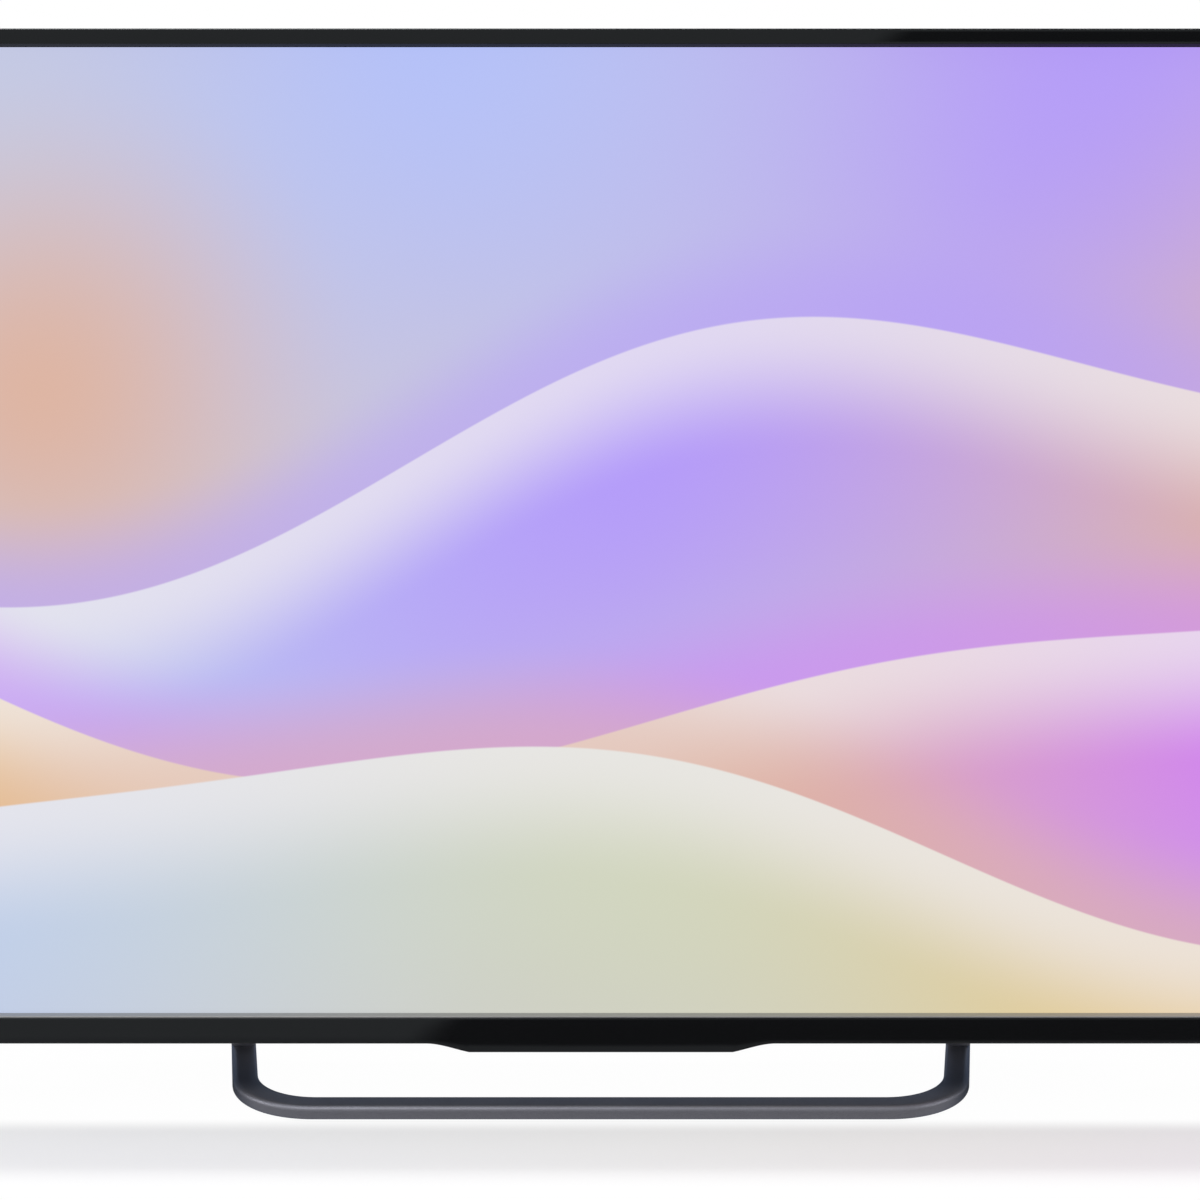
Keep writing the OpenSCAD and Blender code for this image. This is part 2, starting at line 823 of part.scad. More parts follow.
// The figure of eight inlet for the mains lead, with its two pins
module mains_inlet() {
    x1 = socket_reach;
    d_c = d_parts + inlet_t / 2;
    color([0.06, 0.06, 0.06]) {
        difference() {
            block(x1 - inlet_l, x1, d_parts, d_parts + inlet_t,
                inlet_z - inlet_w / 2, inlet_z + inlet_w / 2);
            for (s = [-1, 1])
                rod_x(x1 - inlet_depth, x1 + past, d_c, inlet_z + s * inlet_pin_gap / 2, inlet_r);
            block(x1 - inlet_depth, x1 + past, d_c - inlet_r, d_c + inlet_r,
                inlet_z - inlet_pin_gap / 2, inlet_z + inlet_pin_gap / 2);
        }
    }
    color([0.8, 0.8, 0.8])
        for (s = [-1, 1]) rod_x(x1 - inlet_depth, x1 - 3, d_c, inlet_z + s * inlet_pin_gap / 2, 1.2);
}

// A socket in the side row: a shell with a pocket, and a tongue that stands in the pocket
module side_socket(w, t, l, z, shell, tongue_t) {
    x0 = -socket_reach;
    d_c = d_parts + t / 2;
    difference() {
        block(x0, x0 + l, d_parts, d_parts + t, z - w / 2, z + w / 2);
        block(x0 - past, x0 + l - 1.5, d_parts + shell, d_parts + t - shell,
            z - w / 2 + shell, z + w / 2 - shell);
    }
    block(x0 + 1.5, x0 + l - 1.5, d_c - tongue_t / 2, d_c + tongue_t / 2,
        z - w / 2 + 2 * shell, z + w / 2 - 2 * shell);
}

module video_sockets() {
    color([0.7, 0.7, 0.72]) for (z = video_z) side_socket(video_w, video_t, video_l, z, 0.7, 1);
}

module data_sockets() {
    color([0.72, 0.72, 0.74]) for (z = data_z) side_socket(data_w, data_t, data_l, z, 0.9, 1.8);
}

module card_slot() {
    x0 = -socket_reach;
    color([0.15, 0.15, 0.16])
        difference() {
            block(x0, x0 + card_l, d_parts, d_parts + card_t, card_z - card_w / 2, card_z + card_w / 2);
            block(x0 - past, x0 + card_l - card_back, d_parts + card_wall, d_parts + card_t - card_wall,
                card_z - card_w / 2 + card_end, card_z + card_w / 2 - card_end);
        }
}

module tuner_can() {
    color([0.74, 0.75, 0.77])
        translate([antenna_x[0] + antenna_pitch / 2, 0, rear_row_z + tuner_lift])
            block(-tuner_w / 2, tuner_w / 2, d_parts, d_parts + tuner_t, -tuner_h / 2, tuner_h / 2);
}

// Barrels that stand on the tuner and reach out through the cover
module antenna_sockets() {
    d_tip = d_hump + antenna_proud;
    color([0.8, 0.78, 0.7])
        for (x = antenna_x)
            difference() {
                union() {
                    rod_y(x, rear_row_z, d_parts + tuner_t, d_tip, antenna_r);
                    rod_y(x, rear_row_z, d_parts + tuner_t, d_inside - 3, antenna_r + 1.2);
                }
                rod_y(x, rear_row_z, d_tip - 8, d_tip + past, 1);
            }
}

module network_socket() {
    color([0.68, 0.69, 0.7])
        difference() {
            block(network_x - network_w / 2, network_x + network_w / 2, d_parts, socket_mouth,
                rear_row_z - network_h / 2, rear_row_z + network_h / 2);
            translate([network_x, 0, rear_row_z]) {
                block(-plug_hole_w / 2, plug_hole_w / 2, socket_mouth - network_depth, socket_mouth + past,
                    -plug_hole_h / 2, plug_hole_h / 2);
                block(-latch_hole_w / 2, latch_hole_w / 2, socket_mouth - network_depth, socket_mouth + past,
                    -plug_hole_h / 2 - latch_hole_h, -plug_hole_h / 2);
            }
        }
}

module optical_socket() {
    h = optical_s / 2;
    color([0.08, 0.08, 0.09])
        difference() {
            block(optical_x - h, optical_x + h, d_parts, socket_mouth, rear_row_z - h, rear_row_z + h);
            translate([optical_x, 0, rear_row_z])
                block(-optical_hole / 2, optical_hole / 2, socket_mouth - optical_depth, socket_mouth + past,
                    -optical_hole / 2, optical_hole / 2);
        }
}

module audio_jacks() {
    h = jack_s / 2;
    color([0.1, 0.1, 0.1])
        for (x = jack_x)
            difference() {
                block(x - h, x + h, d_parts, socket_mouth, rear_row_z - h, rear_row_z + h);
                rod_y(x, rear_row_z, socket_mouth - jack_depth, socket_mouth + past, jack_r);
            }
}

// A closed speaker box with two ears that rest on grommets, and round openings underneath
module speaker_box() {
    d1 = d_speaker + speaker_t;
    x1 = speaker_x + speaker_w;
    z1 = z_speaker + speaker_h;
    difference() {
        block(speaker_x, x1, d_speaker, d1, z_speaker, z1);
        block(speaker_x + speaker_wall, x1 - speaker_wall, d_speaker + speaker_wall, d1 - speaker_wall,
            z_speaker + speaker_wall, z1 - speaker_wall);
        for (i = [0:cone_n - 1])
            rod_z(cone_x(i), d_cone, z_speaker - past, z_speaker + speaker_wall + past, cone_r + 0.3);
    }
    for (x = [speaker_x - speaker_ear, x1])
        block(x, x + speaker_ear, d_cone - 5, d_cone + 5, z_speaker, z_speaker + ear_t);
}

d_cone = d_speaker + speaker_t / 2;
function cone_x(i) = speaker_x + speaker_w * (0.5 + i) / cone_n;

module speaker_right() {
    color([0.08, 0.08, 0.08]) speaker_box();
}

module speaker_left() {
    color([0.08, 0.08, 0.08]) mirror([1, 0, 0]) speaker_box();
}

// Cones with a dust cap, let into the boxes' floors, with the magnet behind them
module speaker_cones() {
    magnet_h = 9;
    cone_h = 6;
    color([0.14, 0.14, 0.15])
        both_sides()
            for (i = [0:cone_n - 1])
                translate([cone_x(i), yd(d_cone), z_speaker]) {
                    rotate_extrude()
                        polygon([[2, 3], [cone_r, 0], [cone_r, 1.2], [4, cone_h], [0, cone_h], [0, 3]]);
                    translate([0, 0, cone_h]) cylinder(h = magnet_h, r = 7);
                }
}

module speaker_grommets() {
    color([0.1, 0.1, 0.1])
        both_sides()
            for (x = [speaker_x - speaker_ear / 2, speaker_x + speaker_w + speaker_ear / 2])
                rod_z(x, d_cone, z_floor, z_speaker, grommet_r - 0.2);
}

keypad_margin = 9;
keypad_h = 16;
keypad_z0 = key_z(0) - keypad_margin;
keypad_z1 = key_z(key_count - 1) + keypad_margin;
keypad_posts = [keypad_z0 + 2, keypad_z1 - 2];
keypad_post_r = 1.8;

// A narrow board that stands along the side wall, with a push switch under each key
module keypad_board() {
    color([0.05, 0.25, 0.14]) {
        block(keypad_x - keypad_t, keypad_x, d_key - keypad_h / 2, d_key + keypad_h / 2,
            keypad_z0, keypad_z1);
        for (i = [0:key_count - 1]) {
            block(keypad_x, keypad_x + switch_t, d_key - switch_s / 2, d_key + switch_s / 2,
                key_z(i) - switch_s / 2, key_z(i) + switch_s / 2);
            rod_x(keypad_x + switch_t, plunger_x, d_key, key_z(i), 1.6);
        }
    }
}

// A key: a face that stands proud of the wall, a flange that stops it inside, and a stem
module key(i) {
    z = key_z(i);
    x_flange = inner_x - fit_gap;
    block(x_flange, wall_x + key_proud, d_key - key_w / 2, d_key + key_w / 2, z - key_h / 2, z + key_h / 2);
    block(x_flange - key_flange, x_flange, d_key - key_w / 2 - 1.2, d_key + key_w / 2 + 1.2,
        z - key_h / 2 - 0.8, z + key_h / 2 + 0.8);
    rod_x(key_x_in, x_flange - key_flange, d_key, z, 1.8);
}

module key_power() {
    color([0.1, 0.1, 0.1]) key(6);
}

module key_source() {
    color([0.1, 0.1, 0.1]) key(5);
}

module key_menu() {
    color([0.1, 0.1, 0.1]) key(4);
}

module key_channel_up() {
    color([0.1, 0.1, 0.1]) key(3);
}

module key_channel_down() {
    color([0.1, 0.1, 0.1]) key(2);
}

module key_volume_up() {
    color([0.1, 0.1, 0.1]) key(1);
}

module key_volume_down() {
    color([0.1, 0.1, 0.1]) key(0);
}

// The outside of the rear cover, or, with g as the wall, its inside
module cover_form(g) {
    hw = cover_w / 2 - g;
    d_front = bezel_depth - (g > 0 ? past : 0);
    block(-hw, hw, d_front, d_edge, z_c0 + g, z_c1 - g);
    sloped_block(hw, z_c0 + g, z_c1 - g, d_edge,
        hw - slope_w, z_c0 + g + slope_w, z_c1 - g - slope_w, d_flat - g);
    intersection() {
        translate([-wall_x + g, 0, 0]) rotate([90, 0, 90]) linear_extrude(hump_w - 2 * g) hump_side(g);
        translate([0, 0, z_b]) linear_extrude(z_t - z_b) hump_plan(g);
    }
}

// The hump seen from the side, in depth and height: a flat floor, a round rear edge and a slope on top
module hump_side(g) {
    r = hump_r - min(g, hump_r - 1);
    y0 = yd(d_edge - past);
    y1 = yd(d_hump - g);
    z0 = z_c0 + g;
    z1 = z_hump - g * tan(22.5);
    k = r * tan(22.5);
    polygon([[y0, z0], [y1 - r, z0], [y1, z0 + r], [y1, z1 - k], [y1 - k * sqrt(0.5), z1 + k * sqrt(0.5)],
        [y0, z1 + y1 - y0]]);
    translate([y1 - r, z0 + r]) circle(r);
    translate([y1 - r, z1 - k]) circle(r);
}

// The hump seen from above, in width and depth, with its two rear edges rounded
module hump_plan(g) {
    r = hump_r - min(g, hump_r - 1);
    hw = wall_x - g;
    y0 = yd(d_edge - past);
    y1 = yd(d_hump - g);
    translate([-hw, y0]) square([2 * hw, y1 - r - y0]);
    translate([-hw + r, y0]) square([2 * (hw - r), y1 - y0]);
    for (s = [-1, 1]) translate([s * (hw - r), y1 - r]) circle(r);
}

module rear_cover() {
    color([0.07, 0.07, 0.075]) {
        difference() {
            union() {
                difference() {
                    cover_form(0);
                    cover_form(cover_t);
                }
                for (p = cover_screw_spots)
                    rod_y(p[0], p[1], d_chassis, d_flat - cover_t + past / 2, cover_head_r + 0.8);
                for (z = keypad_posts) rod_x(keypad_x, inner_x + past / 2, d_key, z, keypad_post_r);
            }
            cover_ports();
            cover_vents();
            for (p = cover_screw_spots) {
                rod_y(p[0], p[1], d_chassis - past, d_flat + past, cover_screw_r + 0.2);
                rod_y(p[0], p[1], d_flat - cover_sink, d_flat + past, cover_head_r + 0.3);
            }
            for (p = mount_spots) rod_y(p[0], p[1], d_inside - past, d_hump + past, mount_post_r + fit_gap);
            both_sides()
                for (z = leg_screws) rod_y(leg_x, z, d_inside - past, d_hump + past, leg_screw_r + fit_gap);
        }
    }
}

// Openings for the sockets and the keys, each a little larger than what comes through it
module cover_ports() {
    p = port_gap;
    x_out = -wall_x - past;
    x_in = -inner_x + past;
    for (z = video_z)
        block(x_out, x_in, d_parts - p, d_parts + video_t + p, z - video_w / 2 - p, z + video_w / 2 + p);
    for (z = data_z)
        block(x_out, x_in, d_parts - p, d_parts + data_t + p, z - data_w / 2 - p, z + data_w / 2 + p);
    block(x_out, x_in, d_parts - p, d_parts + card_t + p, card_z - card_w / 2 - p, card_z + card_w / 2 + p);
    block(inner_x - past, wall_x + past, d_parts - p, d_parts + inlet_t + p,
        inlet_z - inlet_w / 2 - p, inlet_z + inlet_w / 2 + p);
    for (i = [0:key_count - 1])
        block(inner_x - past, wall_x + past, d_key - key_w / 2 - fit_gap, d_key + key_w / 2 + fit_gap,
            key_z(i) - key_h / 2 - fit_gap, key_z(i) + key_h / 2 + fit_gap);
    for (x = antenna_x) rod_y(x, rear_row_z, d_inside - past, d_hump + past, antenna_r + p);
    rear_port(network_x, network_w / 2, network_h / 2);
    rear_port(optical_x, optical_s / 2, optical_s / 2);
    for (x = jack_x) rear_port(x, jack_s / 2, jack_s / 2);
}

module rear_port(x, hw, hh) {
    block(x - hw - port_gap, x + hw + port_gap, d_inside - past, d_hump + past,
        rear_row_z - hh - port_gap, rear_row_z + hh + port_gap);
}

// Rows of upright slots: two over the boards, one across the top, and grilles under the speakers
vent_h = 22;
vent_row_gap = 6;
vent_margin = 20;
vent_end = 22;
vent_drop = 34;
top_vent_drop = 98;
grille_in = 5;
grille_end = 8;
grille_h = 16;
vent_row_z = z_hump - vent_drop;
vent_inner_x = mount_pitch / 2 + vent_margin;
vent_n = floor((wall_x - vent_end - vent_inner_x) / vent_pitch);
top_vent_n = 36;
grille_n = floor((speaker_w - grille_end) / vent_pitch);

module cover_vents() {
    both_sides() {
        for (i = [0:vent_n - 1], row = [0:1])
            translate([vent_inner_x + vent_pitch * i, 0, -row * (vent_h + vent_row_gap)])
                block(0, vent_w, d_inside - past, d_hump + past, vent_row_z, vent_row_z + vent_h);
        for (i = [0:top_vent_n - 1])
            translate([vent_pitch * (i + 0.5), 0, 0])
                block(0, vent_w, d_chassis + cover_gap - past, d_flat + past,
                    z_t - top_vent_drop, z_t - top_vent_drop + vent_h);
        for (i = [0:grille_n - 1])
            translate([speaker_x + grille_in + vent_pitch * i, 0, 0])
                block(0, vent_w, d_cone - grille_h / 2, d_cone + grille_h / 2, z_c0 - past, z_floor + past);
    }
}

module cover_screws() {
    d_seat = d_flat - cover_sink;
    color([0.12, 0.12, 0.12])
        for (p = cover_screw_spots) {
            difference() {
                rod_y(p[0], p[1], d_seat, d_seat + cover_head_t, cover_head_r);
                cross_slot(p[0], p[1], d_seat + 0.8, d_seat + cover_head_t + past, 4);
            }
            rod_y(p[0], p[1], d_floor + 0.2, d_seat, cover_screw_r);
        }
}

// Steel posts from the chassis to the cover's back, tapped for a wall mount's screws
module wall_mount_posts() {
    color([0.72, 0.73, 0.75])
        for (p = mount_spots)
            difference() {
                rod_y(p[0], p[1], d_chassis, d_hump, mount_post_r);
                rod_y(p[0], p[1], d_hump - mount_depth, d_hump + past, mount_r);
            }
}

// A plate on the chassis with two tapped bosses that reach the cover's back
module stand_brackets() {
    color([0.7, 0.71, 0.73])
        both_sides()
            difference() {
                union() {
                    block(leg_x - bracket_w / 2, leg_x + bracket_w / 2, d_chassis, d_chassis + bracket_t,
                        bracket_z0, z_leg_top + 3);
                    for (z = leg_screws) rod_y(leg_x, z, d_chassis + bracket_t / 2, d_inside, bracket_boss_r);
                }
                for (z = leg_screws)
                    rod_y(leg_x, z, d_inside - leg_screw_bite - past, d_inside + past, leg_screw_r + 0.05);
            }
}

// Section of the stand's bar, lying flat and drawn in by g
module bar_section(g = 0) {
    rounded_rect(-bar_w / 2 + g, -bar_t / 2 + g, bar_w / 2 - g, bar_t / 2 - g, bar_edge - g);
}

// Middles of the hoop's corners. The rail between two of them passes under the leg.
front_corner_d = d_front_bar + corner_r;
rear_corner_d = d_rear_bar - corner_r;
rail_step = 0.03;
rail_tuck = 1;
rail_len = (rear_corner_d - front_corner_d) / cos(rail_flare);
front_corner_x = corner_x(front_corner_d);
rear_corner_x = corner_x(rear_corner_d);

function corner_x(d) =
    round(1000 * (leg_x + (d - d_leg_mid) * tan(rail_flare) - corner_r / cos(rail_flare))) / 1000;

// The straight bar between two corners, in the table's plane
module hoop_bar(x, d) {
    translate([-x, yd(d), z_bar]) rotate([90, 0, 90]) linear_extrude(2 * x) bar_section();
}

// A round corner in the table's plane, from the end of the front bar over a turn
module hoop_corner(turn) {
    rotate([0, 0, -90]) rotate_extrude(angle = turn) translate([corner_r, 0]) bar_section();
}

// A flared rail, a hair slimmer than the corners that it is tucked into
module hoop_rail() {
    translate([front_corner_x, yd(front_corner_d), z_bar]) rotate([0, 0, -rail_flare])
        translate([corner_r, -rail_tuck, 0]) rotate([-90, 0, 0])
            linear_extrude(rail_len + 2 * rail_tuck) bar_section(rail_step);
}

module stand_hoop() {
    color([0.17, 0.19, 0.23]) {
        hoop_bar(front_corner_x, d_front_bar);
        hoop_bar(rear_corner_x, d_rear_bar);
        both_sides() {
            translate([front_corner_x, yd(front_corner_d), z_bar]) hoop_corner(90 - rail_flare);
            translate([rear_corner_x, yd(rear_corner_d), z_bar]) mirror([0, 1, 0]) hoop_corner(90 + rail_flare);
            hoop_rail();
        }
    }
}

// Upright bars, welded to the rails below and screwed through the cover to the brackets
module stand_legs() {
    z0 = pad_t + bar_t + weld_gap;
    color([0.17, 0.19, 0.23])
        both_sides()
            difference() {
                translate([leg_x, yd(d_leg_mid), z0]) linear_extrude(z_leg_top - z0) bar_section();
                for (z = leg_screws) rod_y(leg_x, z, d_leg - past, d_leg + bar_t + past, leg_screw_r + fit_gap);
            }
}

module stand_screws() {
    d_head = d_leg + bar_t;
    color([0.75, 0.76, 0.78])
        both_sides()
            for (z = leg_screws) {
                difference() {
                    rod_y(leg_x, z, d_head, d_head + leg_screw_head_t, leg_screw_head);
                    cross_slot(leg_x, z, d_head + leg_screw_web, d_head + leg_screw_head_t + past, leg_screw_slot);
                }
                rod_y(leg_x, z, d_inside - leg_screw_bite, d_head, leg_screw_r);
            }
}

// Rubber strips under the front and rear bars
module foot_pads() {
    color([0.08, 0.08, 0.08])
        both_sides()
            for (p = [[front_corner_x - pad_l, d_front_bar + pad_back], [rear_corner_x - pad_l, d_rear_bar - pad_back]])
                translate([p[0], yd(p[1]), 0]) linear_extrude(pad_t) {
                    translate([0, -pad_w / 2]) square([pad_l - pad_w, pad_w]);
                    for (x = [0, pad_l - pad_w]) translate([x, 0]) circle(pad_w / 2);
                }
}

front_bezel();
lower_trim_strip();
ir_window();
ir_board();
lip_gasket();
display_panel();
panel_mid_frame();
prism_film();
diffuser_film();
diffuser_plate();
diffuser_pegs();
reflector_sheet();
light_bars();
light_bar_lenses();
metal_chassis();
panel_driver_boards();
board_standoffs();
board_screws();
main_board();
main_chips();
heat_sink();
timing_board();
panel_ribbon_cable();
wireless_module();
power_board();
power_transformer();
bulk_capacitors();
mains_choke();
mains_inlet();
video_sockets();
data_sockets();
card_slot();
tuner_can();
antenna_sockets();
network_socket();
optical_socket();
audio_jacks();
speaker_left();
speaker_right();
speaker_cones();
speaker_grommets();
keypad_board();
key_power();
key_source();
key_menu();
key_channel_up();
key_channel_down();
key_volume_up();
key_volume_down();
rear_cover();
cover_screws();
wall_mount_posts();
stand_brackets();
stand_hoop();
stand_legs();
stand_screws();
foot_pads();
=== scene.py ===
"""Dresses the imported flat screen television: its visible pieces, finishes and a plain stage.

Laid out as an add-on and run as a script. Metres, +Z up, and the screen faces -Y.
"""

import json
import math

import bmesh
import bpy
import numpy as np
from bpy.props import FloatProperty, FloatVectorProperty, PointerProperty
from bpy.types import Operator, Panel, PropertyGroup
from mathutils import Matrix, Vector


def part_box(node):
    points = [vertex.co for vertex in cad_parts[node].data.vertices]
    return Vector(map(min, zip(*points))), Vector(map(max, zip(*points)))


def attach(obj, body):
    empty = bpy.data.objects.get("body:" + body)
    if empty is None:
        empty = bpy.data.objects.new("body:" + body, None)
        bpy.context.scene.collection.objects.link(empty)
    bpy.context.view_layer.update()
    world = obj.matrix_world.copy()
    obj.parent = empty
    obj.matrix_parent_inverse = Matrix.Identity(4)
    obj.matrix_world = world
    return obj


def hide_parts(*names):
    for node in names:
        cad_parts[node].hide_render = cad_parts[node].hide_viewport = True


bl_info = {
    "name": "Flat Screen Television",
    "version": (1, 0, 0),
    "blender": (4, 5, 0),
    "location": "View3D > Sidebar > Television",
    "description": "Builds the visible pieces and finishes of a flat screen television on a stand",
    "category": "Add Mesh",
}

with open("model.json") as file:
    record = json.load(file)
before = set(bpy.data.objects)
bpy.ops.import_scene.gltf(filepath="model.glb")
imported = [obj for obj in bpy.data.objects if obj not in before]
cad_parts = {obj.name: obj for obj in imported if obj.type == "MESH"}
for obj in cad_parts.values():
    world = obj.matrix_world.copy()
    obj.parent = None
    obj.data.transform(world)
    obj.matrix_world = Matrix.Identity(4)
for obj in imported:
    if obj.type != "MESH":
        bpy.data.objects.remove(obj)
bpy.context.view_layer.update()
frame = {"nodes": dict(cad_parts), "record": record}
NODES = frame["nodes"]
SLOTS = {part["node"]: part["material_slot"] for part in frame["record"]["subparts"]}
KEYS = [name for name in NODES if name.startswith("key_")]
CASE = "set"
MM = 0.001


def corners(node):
    """The lowest and highest corner of a CAD node, as two arrays."""
    low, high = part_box(node)
    return np.array(low), np.array(high)


BEZEL_LOW, BEZEL_HIGH = corners("front_bezel")
TRIM_LOW, TRIM_HIGH = corners("lower_trim_strip")
PANEL_LOW, PANEL_HIGH = corners("display_panel")
GUIDE_LOW, GUIDE_HIGH = corners("ir_window")
FACE_Y = BEZEL_LOW[1]
BEZEL_WIDTH = BEZEL_HIGH[0] - TRIM_HIGH[0]


def shade(red, green, blue):
    """A display colour of 0 to 255 as the linear colour that renders to it."""
    c = np.array([red, green, blue]) / 255
    return tuple(np.where(c <= 0.04045, c / 12.92, ((c + 0.055) / 1.055) ** 2.4).tolist())


# Sizes and colours that a user would change

def length(name, description, default):
    """A property that holds a length in metres."""
    return FloatProperty(name=name, description=description, default=float(default),
                         unit="LENGTH", precision=5)


def tint(name, description, default):
    """A property that holds a colour."""
    return FloatVectorProperty(name=name, description=description, default=default,
                               subtype="COLOR", size=3, min=0, max=1)


class TelevisionSizes(PropertyGroup):
    """Sizes of the pieces that are shaped here; their places come from the frame."""

    bezel_width: length("Bezel width", "Face width of the bezel at the top", BEZEL_WIDTH)
    bezel_corner: length("Bezel corner", "Radius of the bezel's outer corners", 3 * MM)
    bezel_round: length("Face rounding", "Rounding of the bezel's outer front edge", 1.2 * MM)
    lip_round: length("Lip rounding", "Rounding of the edge that frames the picture", 0.5 * MM)
    bezel_wall: length("Bezel wall", "Thickness of the bezel's wall and face", 2 * MM)
    lip_wall: length("Lip wall", "Thickness of the lip that frames the picture", 1.6 * MM)
    chin_flat: length("Chin width", "Width of the chin along its flat bottom", 144 * MM)
    chin_run: length("Chin run", "Length of the curve at each end of the chin", 23.5 * MM)
    chin_drop: length("Chin drop", "Drop of the chin below the bottom edge", 4.7 * MM)
    picture_gap: length("Picture gap", "Dark border between the lip and the lit picture", 0.2 * MM)
    picture_tuck: length("Picture tuck", "How far the picture runs behind the strip", 1.2 * MM)
    bar_width: length("Bar width", "Width of the stand's flat bar", 14 * MM)
    bar_thickness: length("Bar thickness", "Thickness of the stand's flat bar", 7 * MM)
    bar_edge: length("Bar edge", "Radius of the bar's lower and inner edges", 1.6 * MM)
    bar_crown: length("Bar crown", "Height of the rounding of its outer upper edge", 2.6 * MM)
    bar_dome: length("Bar dome", "Width of that rounding across the bar", 3.4 * MM)
    corner_bend: length("Corner bend", "Radius of the hoop's corners to the bar's middle", 47 * MM)
    rail_flare: FloatProperty(name="Rail flare", subtype="ANGLE", default=math.radians(13.9),
                              description="Angle by which the hoop's rails flare out")
    key_edge: length("Key edge", "Rounding of a key's face edge", 0.6 * MM)
    key_dish: length("Key dish", "Depth of the hollow in a key's face", 0.25 * MM)
    cover_edge: length("Cover edge", "Width of the rounding of the rear cover's border", 2.6 * MM)


class TelevisionColours(PropertyGroup):
    """Colours of the finishes and of the picture."""

    gloss_black: tint("Gloss black", "Bezel moulding", (0.0035, 0.0036, 0.0042))
    satin_grey: tint("Satin grey", "Strip along the lower lip", (0.315, 0.315, 0.315))
    stand_paint: tint("Stand paint", "Metallic paint of the stand", (0.141, 0.142, 0.163))
    textured_black: tint("Textured black", "Rear cover", (0.021, 0.021, 0.023))
    key_black: tint("Key black", "Press keys", (0.05, 0.05, 0.053))
    mist: tint("Mist", "Ground of the picture", shade(207, 195, 206))
    violet: tint("Violet", "Violet in the picture", shade(178, 152, 250))
    periwinkle: tint("Periwinkle", "Periwinkle in the picture", shade(178, 192, 250))
    pale_blue: tint("Pale blue", "Pale blue in the picture", shade(190, 206, 236))
    pale_green: tint("Pale green", "Grey green in the picture", shade(210, 214, 190))
    peach: tint("Peach", "Peach in the picture", shade(222, 178, 156))
    apricot: tint("Apricot", "Apricot in the picture", shade(236, 198, 124))
    orchid: tint("Orchid", "Orchid in the picture", shade(206, 120, 246))
    glow: tint("Glow", "Light along the crests in the picture", shade(240, 236, 238))


# Shader sums

class Value:
    """A shader socket in a sum: each operator adds the Math node that works it out."""

    def __init__(self, sheet, socket):
        self.sheet = sheet
        self.socket = socket

    def maths(self, operation, *terms):
        """What a Math node makes of the terms."""
        return self.sheet.node("ShaderNodeMath", dict(enumerate(terms)), operation=operation)

    def __add__(self, other):
        return self.maths("ADD", self, other)

    def __sub__(self, other):
        return self.maths("SUBTRACT", self, other)

    def __mul__(self, other):
        return self.maths("MULTIPLY", self, other)

    def __truediv__(self, other):
        return self.maths("DIVIDE", self, other)

    def __mod__(self, other):
        return self.maths("FLOORED_MODULO", self, other)

    def __lt__(self, other):
        return self.maths("LESS_THAN", self, other)

    def __gt__(self, other):
        return self.maths("GREATER_THAN", self, other)

    def __radd__(self, other):
        return self.maths("ADD", other, self)

    def __rsub__(self, other):
        return self.maths("SUBTRACT", other, self)

    def __rmul__(self, other):
        return self.maths("MULTIPLY", other, self)

    def __rtruediv__(self, other):
        return self.maths("DIVIDE", other, self)

    def __neg__(self):
        return self.maths("MULTIPLY", self, -1)

    def __abs__(self):
        return self.maths("ABSOLUTE", self)

    def sine(self):
        return self.maths("SINE", self)

    def higher(self, other):
        return self.maths("MAXIMUM", self, other)

    def rise(self, start, end, low=0.0, high=1.0):
        """A smooth step from low at start to high at end."""
        return self.sheet.node("ShaderNodeMapRange", {0: self, 1: start, 2: end, 3: low, 4: high},
                               interpolation_type="SMOOTHSTEP")

    def stripes(self, pitch, start, end):
        """Stripes at a pitch. Their edges rise from start to end, in pitches from the mid gap."""
        return abs((self / pitch) % 1 - 0.5).rise(start, end)

    def ridges(self, pitch):
        """A sine wave of the given pitch."""
        return (self * (2 * math.pi / pitch)).sine()


